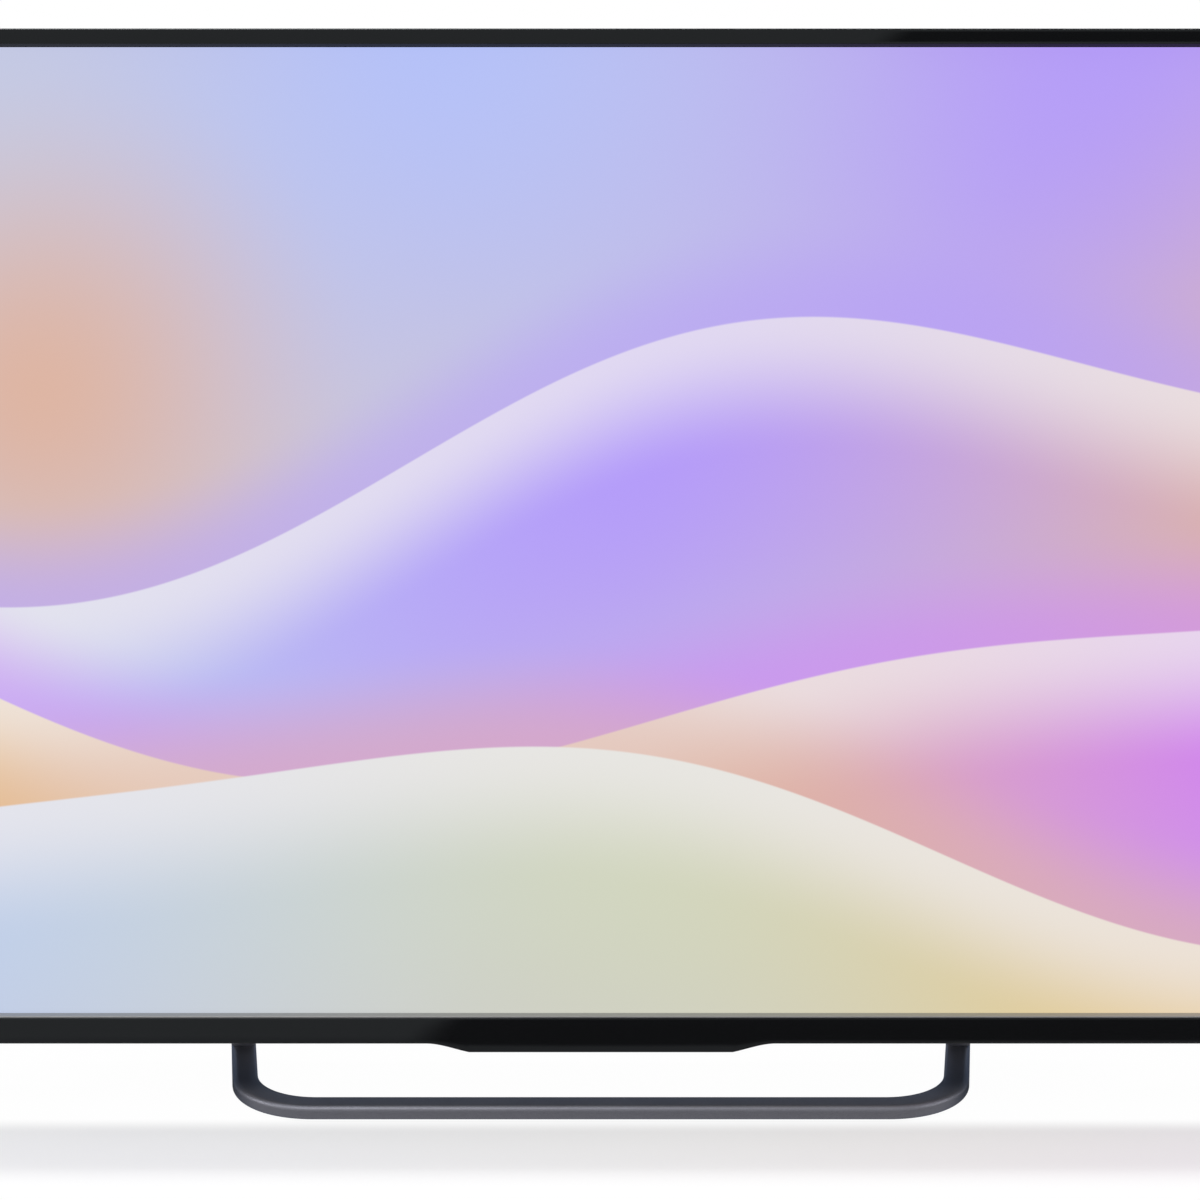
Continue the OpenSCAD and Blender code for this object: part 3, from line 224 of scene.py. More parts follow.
class Sheet:
    """A node tree that a finish is written on."""

    def __init__(self, tree):
        self.tree = tree
        tree.nodes.clear()

    def node(self, kind, sockets=None, out=0, **settings):
        """Adds a node: its settings first, then the values or links of its sockets."""
        made = self.tree.nodes.new(kind)
        for name, value in settings.items():
            setattr(made, name, value)
        for name, value in (sockets or {}).items():
            target = made.inputs[name]
            if isinstance(value, Value):
                self.tree.links.new(value.socket, target)
            elif target.type == "RGBA":
                target.default_value = (*value[:3], 1)
            else:
                target.default_value = value
        return Value(self, made.outputs[out]) if made.outputs else None

    def place(self):
        """The place on the piece, in metres."""
        return self.node("ShaderNodeTexCoord", out="Object")

    def axes(self, vector=None):
        """The three parts of a vector, by default of the place on the piece."""
        split = self.node("ShaderNodeSeparateXYZ", {0: vector or self.place()})
        return [Value(self, socket) for socket in split.socket.node.outputs]

    def stretched(self, scale):
        """The place on the piece, with each axis scaled by its own factor."""
        return self.node("ShaderNodeMapping", {"Vector": self.place(), "Scale": scale})

    def noise(self, scale, detail, vector=None):
        """Cloudy noise, by default about the place on the piece."""
        return self.node("ShaderNodeTexNoise",
                         {"Vector": vector or self.place(), "Scale": scale, "Detail": detail})

    def cells(self, scale, out="Distance"):
        """Random cells: the distance from the middle of each."""
        return self.node("ShaderNodeTexVoronoi", {"Vector": self.place(), "Scale": scale}, out)

    def tones(self, scale):
        """Random cells: three values that each cell has for itself."""
        return self.axes(self.cells(scale, "Color"))

    def mix(self, factor, first, second):
        """A colour between two colours."""
        return self.node("ShaderNodeMix", {0: factor, 6: first, 7: second}, 2, data_type="RGBA")

    def bump(self, height, depth):
        """A normal that follows a height of the given depth."""
        return self.node("ShaderNodeBump", {"Height": height, "Distance": depth})

    def blend(self, share, first, second):
        """A shader between two shaders."""
        return self.node("ShaderNodeMixShader", {0: share, 1: first, 2: second})

    def glow(self, colour, strength=1.0):
        """A shader that sends out light."""
        return self.node("ShaderNodeEmission", {"Color": colour, "Strength": strength})


# Finishes. Each returns the sockets of its surface shader.

def scaled(colour, factor):
    """A lighter or darker tone of a colour."""
    return tuple(factor * c for c in colour)


def moulded(sheet, colour, rough, grain, depth):
    """Moulded plastic: a spark eroded grain of the given size, colour drift and dull hollows."""
    fine = sheet.noise(scale=1 / grain, detail=3)
    drift = sheet.noise(scale=9, detail=2)
    tone = fine * 0.6 + drift * 0.4
    return {
        "Base Color": sheet.mix(tone, scaled(colour, 0.8), scaled(colour, 1.25)),
        "Roughness": rough + 0.12 * (fine - 0.5) + 0.06 * (drift - 0.5),
        "Normal": sheet.bump(fine, depth),
    }


def plated(sheet, colour, rough, metallic=1.0):
    """Plated or cast metal: cloudy tone, fine grain and a slightly uneven polish."""
    cloud = sheet.noise(scale=60, detail=4)
    fine = sheet.noise(scale=2500, detail=2)
    return {
        "Base Color": sheet.mix(cloud, scaled(colour, 0.82), colour),
        "Metallic": metallic,
        "Roughness": rough + 0.15 * (cloud - 0.5) + 0.05 * (fine - 0.5),
        "Normal": sheet.bump(fine, 0.01 * MM),
    }


def circuit(sheet, ground, track):
    """Circuit board: tracks that turn from cell to cell under a lacquer, with tinned dots."""
    x, _, z = sheet.axes()
    tin = (0.55, 0.56, 0.56)
    across, along = (axis.stripes(2.2 * MM, 0.18, 0.24) for axis in (x, z))
    cell = sheet.tones(scale=45)[0]
    lane = sheet.tones(scale=70)[1].rise(0.45, 0.5)
    lines = (across * (cell > 0.5) + along * (cell < 0.5)) * lane
    dot = 1 - sheet.cells(scale=170).rise(0.16, 0.2)
    return {
        "Base Color": sheet.mix(dot, sheet.mix(lines, ground, track), tin),
        "Metallic": dot,
        "Roughness": 0.32 + 0.1 * lines,
        "Normal": sheet.bump(lines + dot, 0.05 * MM),
    }


def gloss_black(sheet, colours):
    """Deep gloss moulding: a long faint wave, a film of dust, and a matt lip round the picture."""
    dust = sheet.noise(scale=900, detail=3).rise(0.55, 0.8)
    smear = sheet.noise(scale=14, detail=3)
    wave = sheet.noise(scale=18, detail=1, vector=sheet.stretched((0.35, 1, 1)))
    x, y, z = sheet.axes()
    lip_start, margin = 0.45 * MM, 0.2 * MM
    top = BEZEL_HIGH[2] - bpy.context.scene.television_sizes.bezel_width
    lip = ((y > FACE_Y + lip_start) * (abs(x) < TRIM_HIGH[0] + margin)
           * (z < top + margin) * (z > TRIM_LOW[2]))
    black = tuple(colours.gloss_black)
    dusty = tuple(1.3 * c + 0.0008 for c in black)
    return {
        "Base Color": sheet.mix(dust, black, dusty),
        "Roughness": 0.05 + 0.05 * smear + 0.04 * dust + 0.55 * lip,
        "Normal": sheet.bump(wave, 0.02 * MM),
        "Specular IOR Level": 0.21,
        "Specular Tint": (0.88, 0.96, 1.0),
    }


def satin_grey(sheet, colours):
    """Satin metallised strip, brushed along its length."""
    brush = sheet.noise(scale=1, detail=3, vector=sheet.stretched((25, 3000, 3000)))
    grey = tuple(colours.satin_grey)
    return {
        "Base Color": sheet.mix(brush, scaled(grey, 0.85), grey),
        "Metallic": 0.35,
        "Roughness": 0.36 + 0.12 * (brush - 0.5),
        "Normal": sheet.bump(brush, 0.01 * MM),
    }


def stand_paint(sheet, colours):
    """Dark satin metallic paint: fine flakes and a faint orange peel under a thin lacquer."""
    flake = sheet.tones(scale=3200)[0]
    peel = sheet.noise(scale=350, detail=2)
    cloud = sheet.noise(scale=22, detail=2)
    paint = tuple(colours.stand_paint)
    tone = 0.75 * flake + 0.25 * cloud
    return {
        "Base Color": sheet.mix(tone, scaled(paint, 0.86), scaled(paint, 1.14)),
        "Metallic": 0.8,
        "Roughness": 0.48 + 0.06 * (flake - 0.5) + 0.05 * (cloud - 0.5),
        "Normal": sheet.bump(peel, 0.006 * MM),
        "Specular IOR Level": 0.0,
        "Specular Tint": (0.17, 0.26, 0.40),
        "Coat Weight": 0.02 + 0.03 * cloud,
        "Coat Roughness": 0.24,
    }


def textured_black(sheet, colours):
    """Rear cover: coarse matt grain of a moulded back, a little polished where it drifts."""
    black = tuple(colours.textured_black)
    return moulded(sheet, black, rough=0.5, grain=0.9 * MM, depth=0.1 * MM)


def key_black(sheet, colours):
    """Press keys: smooth matt moulding."""
    black = tuple(colours.key_black)
    return moulded(sheet, black, rough=0.3, grain=0.3 * MM, depth=0.01 * MM)


def picture(sheet, colours):
    """The lit picture: three soft folds that roll across a drifting pastel ground.

    The ground is pools of colour that fade with distance. A fold is all that lies under its crest,
    a sum of two sines across the picture. It is lit along the crest, and throws a tinted shade
    upwards on what lies behind it.
    """
    x, _, z = sheet.axes()
    place = sheet.place()
    half = TRIM_HIGH[0]
    middle = (TRIM_HIGH[2] + BEZEL_HIGH[2] - BEZEL_WIDTH) / 2

    # Pools: place across and up from the middle, and reach, in half widths of the picture
    pools = [
        (0.62, 0.52, 0.95, colours.violet),
        (-0.20, 0.60, 0.75, colours.periwinkle),
        (-1.00, 0.30, 0.85, colours.pale_blue),
        (-0.66, 0.16, 0.42, colours.peach),
        (1.00, 0.02, 0.70, colours.peach),
    ]
    ground = tuple(colours.mist)
    for across, up, reach, colour in pools:
        spot = (half * across, PANEL_LOW[1], middle + half * up)
        far = sheet.node("ShaderNodeVectorMath", {0: place, 1: spot}, "Value", operation="DISTANCE")
        ground = sheet.mix(far.rise(0, half * reach, 0.95, 0.0), ground, tuple(colour))

    # Folds: level, two sines by height, rate and start, tints from left to right, and shade
    u = x / half
    v = (z - middle) / half
    folds = [
        (0.08, (0.15, 2.3, 0.5), (0.05, 4.9, 1.1),
         (colours.pale_blue, colours.violet, colours.peach), colours.violet),
        (-0.12, (0.14, 2.0, -1.3), (0.05, 4.4, 0.3),
         (colours.apricot, colours.peach, colours.orchid), colours.orchid),
        (-0.36, (0.11, 2.7, 2.3), (0.03, 5.3, 0.8),
         (colours.pale_blue, colours.pale_green, colours.apricot), colours.peach),
    ]
    for level, *sines, tints, shade_tint in folds:
        crest = level
        for height, rate, start in sines:
            crest = crest + height * (u * rate + start).sine()
        depth = crest - v
        body = sheet.mix(u.rise(-0.9, 0.1), tuple(tints[0]), tuple(tints[1]))
        body = sheet.mix(u.rise(0.0, 0.95), body, tuple(tints[2]))
        body = sheet.mix(depth.rise(0.0, 0.16, 0.7, 0.0), body, tuple(colours.glow))
        body = sheet.mix(depth.rise(0.12, 0.6, 0.0, 0.65), body, tuple(colours.mist))
        cast = (-depth).rise(0.0, 0.13, 0.5, 0.0)
        ground = sheet.mix(cast, ground, tuple(shade_tint))
        ground = sheet.mix(depth.rise(-0.0015, 0.0015), ground, body)
    return ground


def screen_glass(sheet, colours):
    """Matt display glass: the lit picture in a black border, under a fine anti glare grain."""
    x, y, z = sheet.axes()
    sizes = bpy.context.scene.television_sizes
    gap, skin = sizes.picture_gap, 0.1 * MM
    top = BEZEL_HIGH[2] - sizes.bezel_width - gap
    bottom = TRIM_HIGH[2] - sizes.picture_tuck
    inside = ((abs(x) < TRIM_HIGH[0] - gap) * (z < top) * (z > bottom)
              * (y < PANEL_LOW[1] + skin))
    grain = sheet.noise(scale=4000, detail=1)
    return {
        "Base Color": sheet.mix(inside, (0.004, 0.004, 0.005), (0.012, 0.012, 0.014)),
        "Roughness": 0.3 + 0.06 * (grain - 0.5),
        "Normal": sheet.bump(grain, 0.003 * MM),
        "Specular IOR Level": 0.2,
        "Emission Color": sheet.mix(inside, (0, 0, 0), picture(sheet, colours)),
        "Emission Strength": 0.97,
    }


def smoked_plastic(sheet, colours):
    """Smoked light guide: dark red, polished, with faint flow lines."""
    flow = sheet.noise(scale=1, detail=2, vector=sheet.stretched((90, 600, 600)))
    return {
        "Base Color": sheet.mix(flow, (0.02, 0.003, 0.005), (0.035, 0.005, 0.008)),
        "Roughness": 0.1 + 0.06 * flow,
    }


def optical_sheet(sheet, colours):
    """White optical film: very fine prism lines and a soft sheen."""
    lines = sheet.axes()[2].ridges(0.8 * MM)
    cloud = sheet.noise(scale=25, detail=2)
    return {
        "Base Color": sheet.mix(cloud, (0.80, 0.82, 0.85), (0.88, 0.89, 0.90)),
        "Roughness": 0.45 + 0.05 * lines,
        "Normal": sheet.bump(lines, 0.01 * MM),
    }


def clear_lens(sheet, colours):
    """Clear moulded lens with a slightly frosted skin."""
    frost = sheet.noise(scale=700, detail=2)
    return {
        "Base Color": sheet.mix(frost, (0.86, 0.88, 0.9), (0.95, 0.96, 0.97)),
        "Roughness": 0.08 + 0.1 * frost,
        "Transmission Weight": 0.75,
    }


def light_board(sheet, colours):
    """White lacquered light bar with copper tracks that show through along its edges."""
    track = sheet.axes()[0].stripes(22 * MM, 0.30, 0.34)
    cloud = sheet.noise(scale=120, detail=2)
    white = sheet.mix(cloud, (0.78, 0.8, 0.78), (0.84, 0.86, 0.84))
    copper = (0.72, 0.66, 0.5)
    return {
        "Base Color": sheet.mix(track * 0.35, white, copper),
        "Roughness": 0.35 + 0.1 * track,
        "Normal": sheet.bump(track, 0.04 * MM),
    }


def zinc_steel(sheet, colours):
    """Zinc coated steel: crystal spangle of a few millimetres and rolling lines."""
    spangle = sheet.tones(scale=140)[0]
    rolled = sheet.noise(scale=1, detail=3, vector=sheet.stretched((40, 1500, 1500)))
    return {
        "Base Color": sheet.mix(spangle, (0.44, 0.45, 0.46), (0.60, 0.61, 0.62)),
        "Metallic": 1.0,
        "Roughness": 0.3 + 0.14 * spangle + 0.08 * (rolled - 0.5),
        "Normal": sheet.bump(rolled, 0.01 * MM),
    }


def winding(sheet, colours):
    """Coil of lacquered copper wire: round turns side by side, with tape between the layers."""
    turns = sheet.axes()[2].ridges(0.9 * MM)
    tape = sheet.noise(scale=40, detail=2).rise(0.5, 0.56)
    wire = sheet.mix(turns * 0.5 + 0.5, (0.26, 0.1, 0.03), (0.62, 0.3, 0.1))
    amber = (0.66, 0.55, 0.12)
    return {
        "Base Color": sheet.mix(tape * 0.7, wire, amber),
        "Roughness": 0.35 + 0.2 * tape,
        "Normal": sheet.bump(turns, 0.12 * MM),
    }


def ribbon_white(sheet, colours):
    """Flat cable: bright conductors under white film."""
    wires = sheet.axes()[2].stripes(1.0 * MM, 0.2, 0.28)
    return {
        "Base Color": sheet.mix(wires, (0.82, 0.82, 0.8), (0.55, 0.56, 0.58)),
        "Roughness": 0.4 - 0.1 * wires,
        "Normal": sheet.bump(wires, 0.05 * MM),
    }


def socket_brass(sheet, colours):
    """Nickelled brass barrel with a fine thread cut on it."""
    thread = sheet.axes()[1].ridges(0.8 * MM)
    look = plated(sheet, (0.72, 0.66, 0.5), rough=0.25)
    look["Normal"] = sheet.bump(thread, 0.12 * MM)
    return look


def socket_metal(sheet, colours):
    """Tinned socket shell, with gilt contact strips on the tongue that stands in the pocket."""
    x, y, z = sheet.axes()
    low, high = corners("video_sockets")
    tongue, half = (low[1] + high[1]) / 2, 1.1 * MM
    start, end = low[0] + 1.4 * MM, low[0] + 11 * MM
    near = (abs(y - tongue) < half) * (x < end) * (x > start)
    strip = near * z.stripes(1.0 * MM, 0.14, 0.2)
    gilt = (0.75, 0.52, 0.2)
    look = plated(sheet, (0.62, 0.62, 0.64), rough=0.26)
    look["Base Color"] = sheet.mix(strip, look["Base Color"], gilt)
    return look


def socket_black(sheet, colours):
    """Black socket moulding; the pins of the mains inlet are bright metal."""
    x, y, z = sheet.axes()
    low, high = corners("mains_inlet")
    middle = (low + high) / 2
    pin_place, pin_radius, pin_start = 4.3 * MM, 1.3 * MM, low[0] + 8 * MM
    up, across = abs(z - middle[2]) - pin_place, y - middle[1]
    pin = (up * up + across * across < pin_radius ** 2) * (x > pin_start)
    bright = (0.7, 0.7, 0.71)
    look = moulded(sheet, (0.022, 0.022, 0.024), rough=0.4, grain=0.4 * MM, depth=0.02 * MM)
    look["Base Color"] = sheet.mix(pin, look["Base Color"], bright)
    look["Metallic"] = pin
    return look


def speaker_paper(sheet, colours):
    """Pressed paper cone: fibres and a dull black dye."""
    fibre = sheet.noise(scale=1200, detail=4)
    return {
        "Base Color": sheet.mix(fibre, (0.012, 0.012, 0.013), (0.045, 0.045, 0.048)),
        "Roughness": 0.75 + 0.2 * (fibre - 0.5),
        "Normal": sheet.bump(fibre, 0.1 * MM),
    }


def plain(look, **values):
    """A finish with values of its own, and no colour that a user would change."""
    return lambda sheet, colours: look(sheet, **values)


FINISHES = {look.__name__: look for look in (
    gloss_black, satin_grey, stand_paint, textured_black, key_black, screen_glass, smoked_plastic,
    optical_sheet, clear_lens, light_board, zinc_steel, winding, ribbon_white, socket_brass,
    socket_metal, socket_black, speaker_paper)}
FINISHES |= {
    "black_moulding": plain(moulded, colour=(0.022, 0.022, 0.023), rough=0.5,
                            grain=0.5 * MM, depth=0.03 * MM),
    "soft_black": plain(moulded, colour=(0.018, 0.018, 0.019), rough=0.82,
                        grain=0.7 * MM, depth=0.06 * MM),
    "chip_black": plain(moulded, colour=(0.014, 0.014, 0.015), rough=0.45,
                        grain=0.25 * MM, depth=0.01 * MM),
    "cast_aluminium": plain(plated, colour=(0.62, 0.63, 0.64), rough=0.42),
    "black_screw": plain(plated, colour=(0.045, 0.045, 0.048), rough=0.38, metallic=0.9),
    "green_board": plain(circuit, ground=(0.006, 0.07, 0.03), track=(0.02, 0.16, 0.07)),
    "blue_board": plain(circuit, ground=(0.008, 0.04, 0.09), track=(0.02, 0.1, 0.2)),
    "tan_board": plain(circuit, ground=(0.34, 0.23, 0.08), track=(0.46, 0.33, 0.14)),
}


def material(slot):
    """The finish of a material slot, written once."""
    name = slot + "_finish"
    made = bpy.data.materials.get(name)
    if made is None:
        made = bpy.data.materials.new(name)
        made.use_nodes = True
        sheet = Sheet(made.node_tree)
        surface = FINISHES[slot](sheet, bpy.context.scene.television_colours)
        shader = sheet.node("ShaderNodeBsdfPrincipled", surface)
        sheet.node("ShaderNodeOutputMaterial", {"Surface": shader})
    return made


# Shapes

SHARP_ANGLE = math.radians(32)
COVER_SHARP_ANGLE = math.radians(25)


def placed(name, data):
    """An object of a mesh, a lamp or a camera, put into the scene."""
    made = bpy.data.objects.new(name, data)
    bpy.context.scene.collection.objects.link(made)
    return made


def smooth(mesh, sharp):
    """Shades a mesh smooth, apart from edges that turn by more than the sharp angle."""
    mesh.polygons.foreach_set("use_smooth", np.ones(len(mesh.polygons), bool))
    mesh.set_sharp_from_angle(angle=sharp)


def loft(rings, closed=False):
    """Points and faces of rings of points set one after the other.

    Each ring is joined to the next by quads. The last ring is joined to the first where the form
    is closed, and the two end rings are filled in where it isn't.
    """
    count, around = rings.shape[:2]
    ring = np.arange(count if closed else count - 1)[:, None]
    step = np.arange(around)[None, :]
    after = (step + 1) % around
    follow = (ring + 1) % count
    quads = np.stack([ring * around + step, ring * around + after,
                      follow * around + after, follow * around + step], -1).reshape(-1, 4)
    faces = quads.tolist()
    if not closed:
        faces.append(np.arange(around)[::-1].tolist())
        faces.append((np.arange(around) + (count - 1) * around).tolist())
    return rings.reshape(-1, 3), faces


def new_piece(name, node, points, faces, body=CASE):
    """Makes a piece that stands for a CAD node, from points and faces that are turned outwards."""
    mesh = bpy.data.meshes.new(name)
    mesh.from_pydata(points.tolist(), [], faces)
    work = bmesh.new()
    work.from_mesh(mesh)
    bmesh.ops.recalc_face_normals(work, faces=work.faces)
    work.to_mesh(mesh)
    work.free()
    smooth(mesh, SHARP_ANGLE)
    finished(name, node, mesh, body)


def finished(name, node, mesh, body=CASE):
    """Makes a piece of a mesh that stands for a CAD node, in that node's finish."""
    mesh.materials.append(material(SLOTS[node]))
    piece = placed(name, mesh)
    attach(piece, body)
    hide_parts(node)
    return piece


def rounded_ring(half_a, half_b, radius, turns, rise=None):
    """Rounded rectangles, one for each entry: four quarter circles about the inner corners.

    Where a rise is given, the quarters are ellipses: a radius wide and a rise high.
    """
    rise = radius if rise is None else rise
    half_a, half_b, radius, rise = (np.reshape(v, (-1, 1)) for v in (half_a, half_b, radius, rise))
    quarter = np.linspace(0, math.pi / 2, turns + 1)
    angle = (np.arange(4)[:, None] * math.pi / 2 + quarter).ravel()
    side_a = np.repeat([1, -1, -1, 1], turns + 1)
    side_b = np.repeat([1, 1, -1, -1], turns + 1)
    return np.stack([side_a * (half_a - radius) + radius * np.cos(angle),
                     side_b * (half_b - rise) + rise * np.sin(angle)], -1)


def along_x(x, ring, middle):
    """Rings in Y and Z about a middle, each at its own place along X."""
    return np.stack([np.broadcast_to(x[:, None], ring.shape[:2]),
                     middle[1] + ring[..., 0], middle[2] + ring[..., 1]], -1)


def outline(half, low, high, radius, shares):
    """A rounded rectangle in X and Z, from its lower left round by the right.

    The lower edge has a station at each share of its half length, and each corner is a quarter
    circle. Returns the places and their outward normals.
    """
    turns = 8
    bottom = np.stack([shares * (half - radius), np.full(len(shares), low)], -1)
    down = np.tile([0.0, -1.0], (len(shares), 1))
    quarter = np.linspace(0, math.pi / 2, turns + 1)
    angles = [quarter[1:] - math.pi / 2, quarter, quarter + math.pi / 2, quarter[:-1] + math.pi]
    middles = [(1, low + radius), (1, high - radius), (-1, high - radius), (-1, low + radius)]
    normals = [np.stack([np.cos(a), np.sin(a)], -1) for a in angles]
    arcs = [np.array([side * (half - radius), z]) + radius * n
            for (side, z), n in zip(middles, normals)]
    return np.concatenate([bottom, *arcs]), np.concatenate([down, *normals])


def at_depth(flat, depth):
    """A drawing in X and Z set at a depth behind the bezel's face."""
    return np.stack([flat[:, 0], np.full(len(flat), FACE_Y + depth), flat[:, 1]], -1)


class TELEVISION_OT_front_bezel(Operator):
    """Front bezel: a U section carried round the picture, with the chin let out at the bottom"""

    bl_idname = "television.front_bezel"
    bl_label = "Front Bezel"

    def execute(self, context):
        sizes = context.scene.television_sizes
        half, high = BEZEL_HIGH[0], BEZEL_HIGH[2]
        low = BEZEL_LOW[2] + sizes.chin_drop
        depth = BEZEL_HIGH[1] - FACE_Y
        lip = TRIM_HIGH[1] - FACE_Y
        flat, run, wall = sizes.chin_flat / 2, sizes.chin_run, sizes.bezel_wall
        guide_room, rear_edge = 0.25 * MM, 0.3 * MM
        lip_corner, hollow_corner = 0.3 * MM, 0.5 * MM
        guide = GUIDE_HIGH[0] + guide_room
        guide_depths = (GUIDE_LOW[1] - FACE_Y - guide_room, GUIDE_HIGH[1] - FACE_Y + guide_room)

        # Stations along the bottom: the ends, the chin's curves and the light guide's sides
        curve = np.linspace(0, 1, 21)
        edge = half - sizes.bezel_corner
        right = np.concatenate([[guide], flat + run * (1 - curve[::-1]), [edge]])
        along = np.concatenate([-right[::-1], right])
        shares = along / edge

        # The chin falls by t*t*(2 - t) of its drop, where t runs from 0 to 1 along its curve
        outer, normal = outline(half, low, high, sizes.bezel_corner, shares)
        t = np.clip((flat + run - np.abs(along)) / run, 0, 1)
        slope = np.sign(along) * sizes.chin_drop / run * (4 * t - 3 * t * t)
        slope *= (t > 0) & (t < 1)
        outer[:len(along), 1] -= sizes.chin_drop * t * t * (2 - t)
        tilt = np.stack([slope, -np.ones_like(slope)], -1)
        normal[:len(along)] = tilt / np.linalg.norm(tilt, axis=1, keepdims=True)

        inner, inward = outline(TRIM_HIGH[0], TRIM_LOW[2], high - sizes.bezel_width, lip_corner,
                                shares)
        cavity, _ = outline(half - wall, low + wall, high - wall, hollow_corner, shares)
        foot = inner + inward * sizes.lip_wall

        # Rings of the section: up the lip, over its rounding, across the face and down the outside,
        # then back through the hollow behind the face
        bend = [(1 - math.cos(a), 1 - math.sin(a)) for a in np.linspace(0, math.pi / 2, 6)]
        section = [(inner, lip)]
        section += [(inner + inward * sizes.lip_round * a, sizes.lip_round * b) for a, b in bend]
        section += [(outer - normal * sizes.bezel_round * b, sizes.bezel_round * a)
                    for a, b in bend]
        first_wall = len(section)
        section += [(outer, d) for d in guide_depths]
        section += [(outer, depth - rear_edge), (outer - normal * rear_edge, depth)]
        section += [(cavity, depth)]
        first_hollow = len(section)
        section += [(cavity, d) for d in guide_depths[::-1]]
        section += [(cavity, wall), (foot, wall), (foot, lip)]
        rings = np.stack([at_depth(flat_ring, d) for flat_ring, d in section])
        points, faces = loft(rings, closed=True)

        # The light guide's hole: the quad between its two stations goes, outside and inside, and
        # four walls join them
        around = len(outer)
        column = len(along) // 2 - 1
        gone = {first_wall * around + column, first_hollow * around + column}
        faces = [face for face in faces if face[0] not in gone]
        rim = [[k * around + column, k * around + column + 1] for k in
               (first_wall, first_wall + 1, first_hollow + 1, first_hollow)]
        (a, b), (c, d), (e, f), (g, h) = rim
        faces += [[a, b, f, e], [d, c, g, h], [c, a, e, g], [b, d, h, f]]
        new_piece("front_bezel_shell", "front_bezel", points, faces)
        return {"FINISHED"}


class TELEVISION_OT_lower_trim(Operator):
    """Lower trim strip: a small rounded section drawn along the lower lip"""

    bl_idname = "television.lower_trim"
    bl_label = "Lower Trim Strip"

    def execute(self, context):
        half, middle = (TRIM_HIGH - TRIM_LOW) / 2, (TRIM_HIGH + TRIM_LOW) / 2
        end, edge = 0.2 * MM, 0.18 * MM
        across = np.array([-half[0], -half[0] + end, half[0] - end, half[0]])
        inset = np.array([end, 0, 0, end])
        ring = rounded_ring(half[1] - inset, half[2] - inset, edge, turns=4)
        new_piece("lower_trim_bar", "lower_trim_strip", *loft(along_x(across, ring, middle)))
        return {"FINISHED"}


class TELEVISION_OT_screen(Operator):
    """Display panel: a thin slab of glass with ground edges, lit from its front face"""

    bl_idname = "television.screen"
    bl_label = "Screen"

    def execute(self, context):
        half, middle = (PANEL_HIGH - PANEL_LOW) / 2, (PANEL_HIGH + PANEL_LOW) / 2
        front, back = PANEL_LOW[1], PANEL_HIGH[1]
        ground, corner = 0.3 * MM, 0.8 * MM
        depth = np.array([front, front + ground, back - ground, back])
        inset = np.array([ground, 0, 0, ground])
        ring = rounded_ring(half[0] - inset, half[2] - inset, corner, turns=4)
        rings = np.stack([middle[0] + ring[..., 0], np.broadcast_to(depth[:, None], ring.shape[:2]),
                          middle[2] + ring[..., 1]], -1)
        new_piece("display_glass", "display_panel", *loft(rings))
        return {"FINISHED"}


class TELEVISION_OT_stand(Operator):
    """Stand hoop: the flat bar's rounded section carried round four corners and flared rails"""

    bl_idname = "television.stand"
    bl_label = "Stand Hoop"

    def execute(self, context):
        sizes = context.scene.television_sizes
        half, turn, flare = sizes.bar_width / 2, sizes.corner_bend, sizes.rail_flare
        low, high = corners("stand_hoop")
        level = (low[2] + high[2]) / 2
        rear = np.array([high[0] - half - turn, high[1] - half - turn, level])
        front = np.array([0, low[1] + half + turn, level])
        front[0] = rear[0] - (rear[1] - front[1]) * math.tan(flare)

        # The right half: a turn back from the front bar to the rail, and on to the rear bar
        steps = (25, 31)
        swing = np.concatenate([np.linspace(-math.pi / 2, -flare, steps[0]),
                                np.linspace(-flare, math.pi / 2, steps[1])])
        middle = np.repeat([front, rear], steps, axis=0)
        out = np.stack([np.cos(swing), np.sin(swing), np.zeros_like(swing)], -1)
        path = middle + turn * out
        mirror = np.array([-1, 1, 1])
        path, out = (np.concatenate([(part * mirror)[::-1], part]) for part in (path, out))

        # The section: its outer upper edge has the fuller rounding
        edge, up = sizes.bar_edge, np.array([0, 0, 1])
        full, even = rounded_ring(half, sizes.bar_thickness / 2, (sizes.bar_dome, edge), turns=9,
                                  rise=(sizes.bar_crown, edge))
        section = np.where((even > 0).all(-1, keepdims=True), full, even)
        rings = path[:, None] + section[None, :, :1] * out[:, None] + section[None, :, 1:] * up
        new_piece("stand_hoop_bar", "stand_hoop", *loft(rings, closed=True))
        return {"FINISHED"}


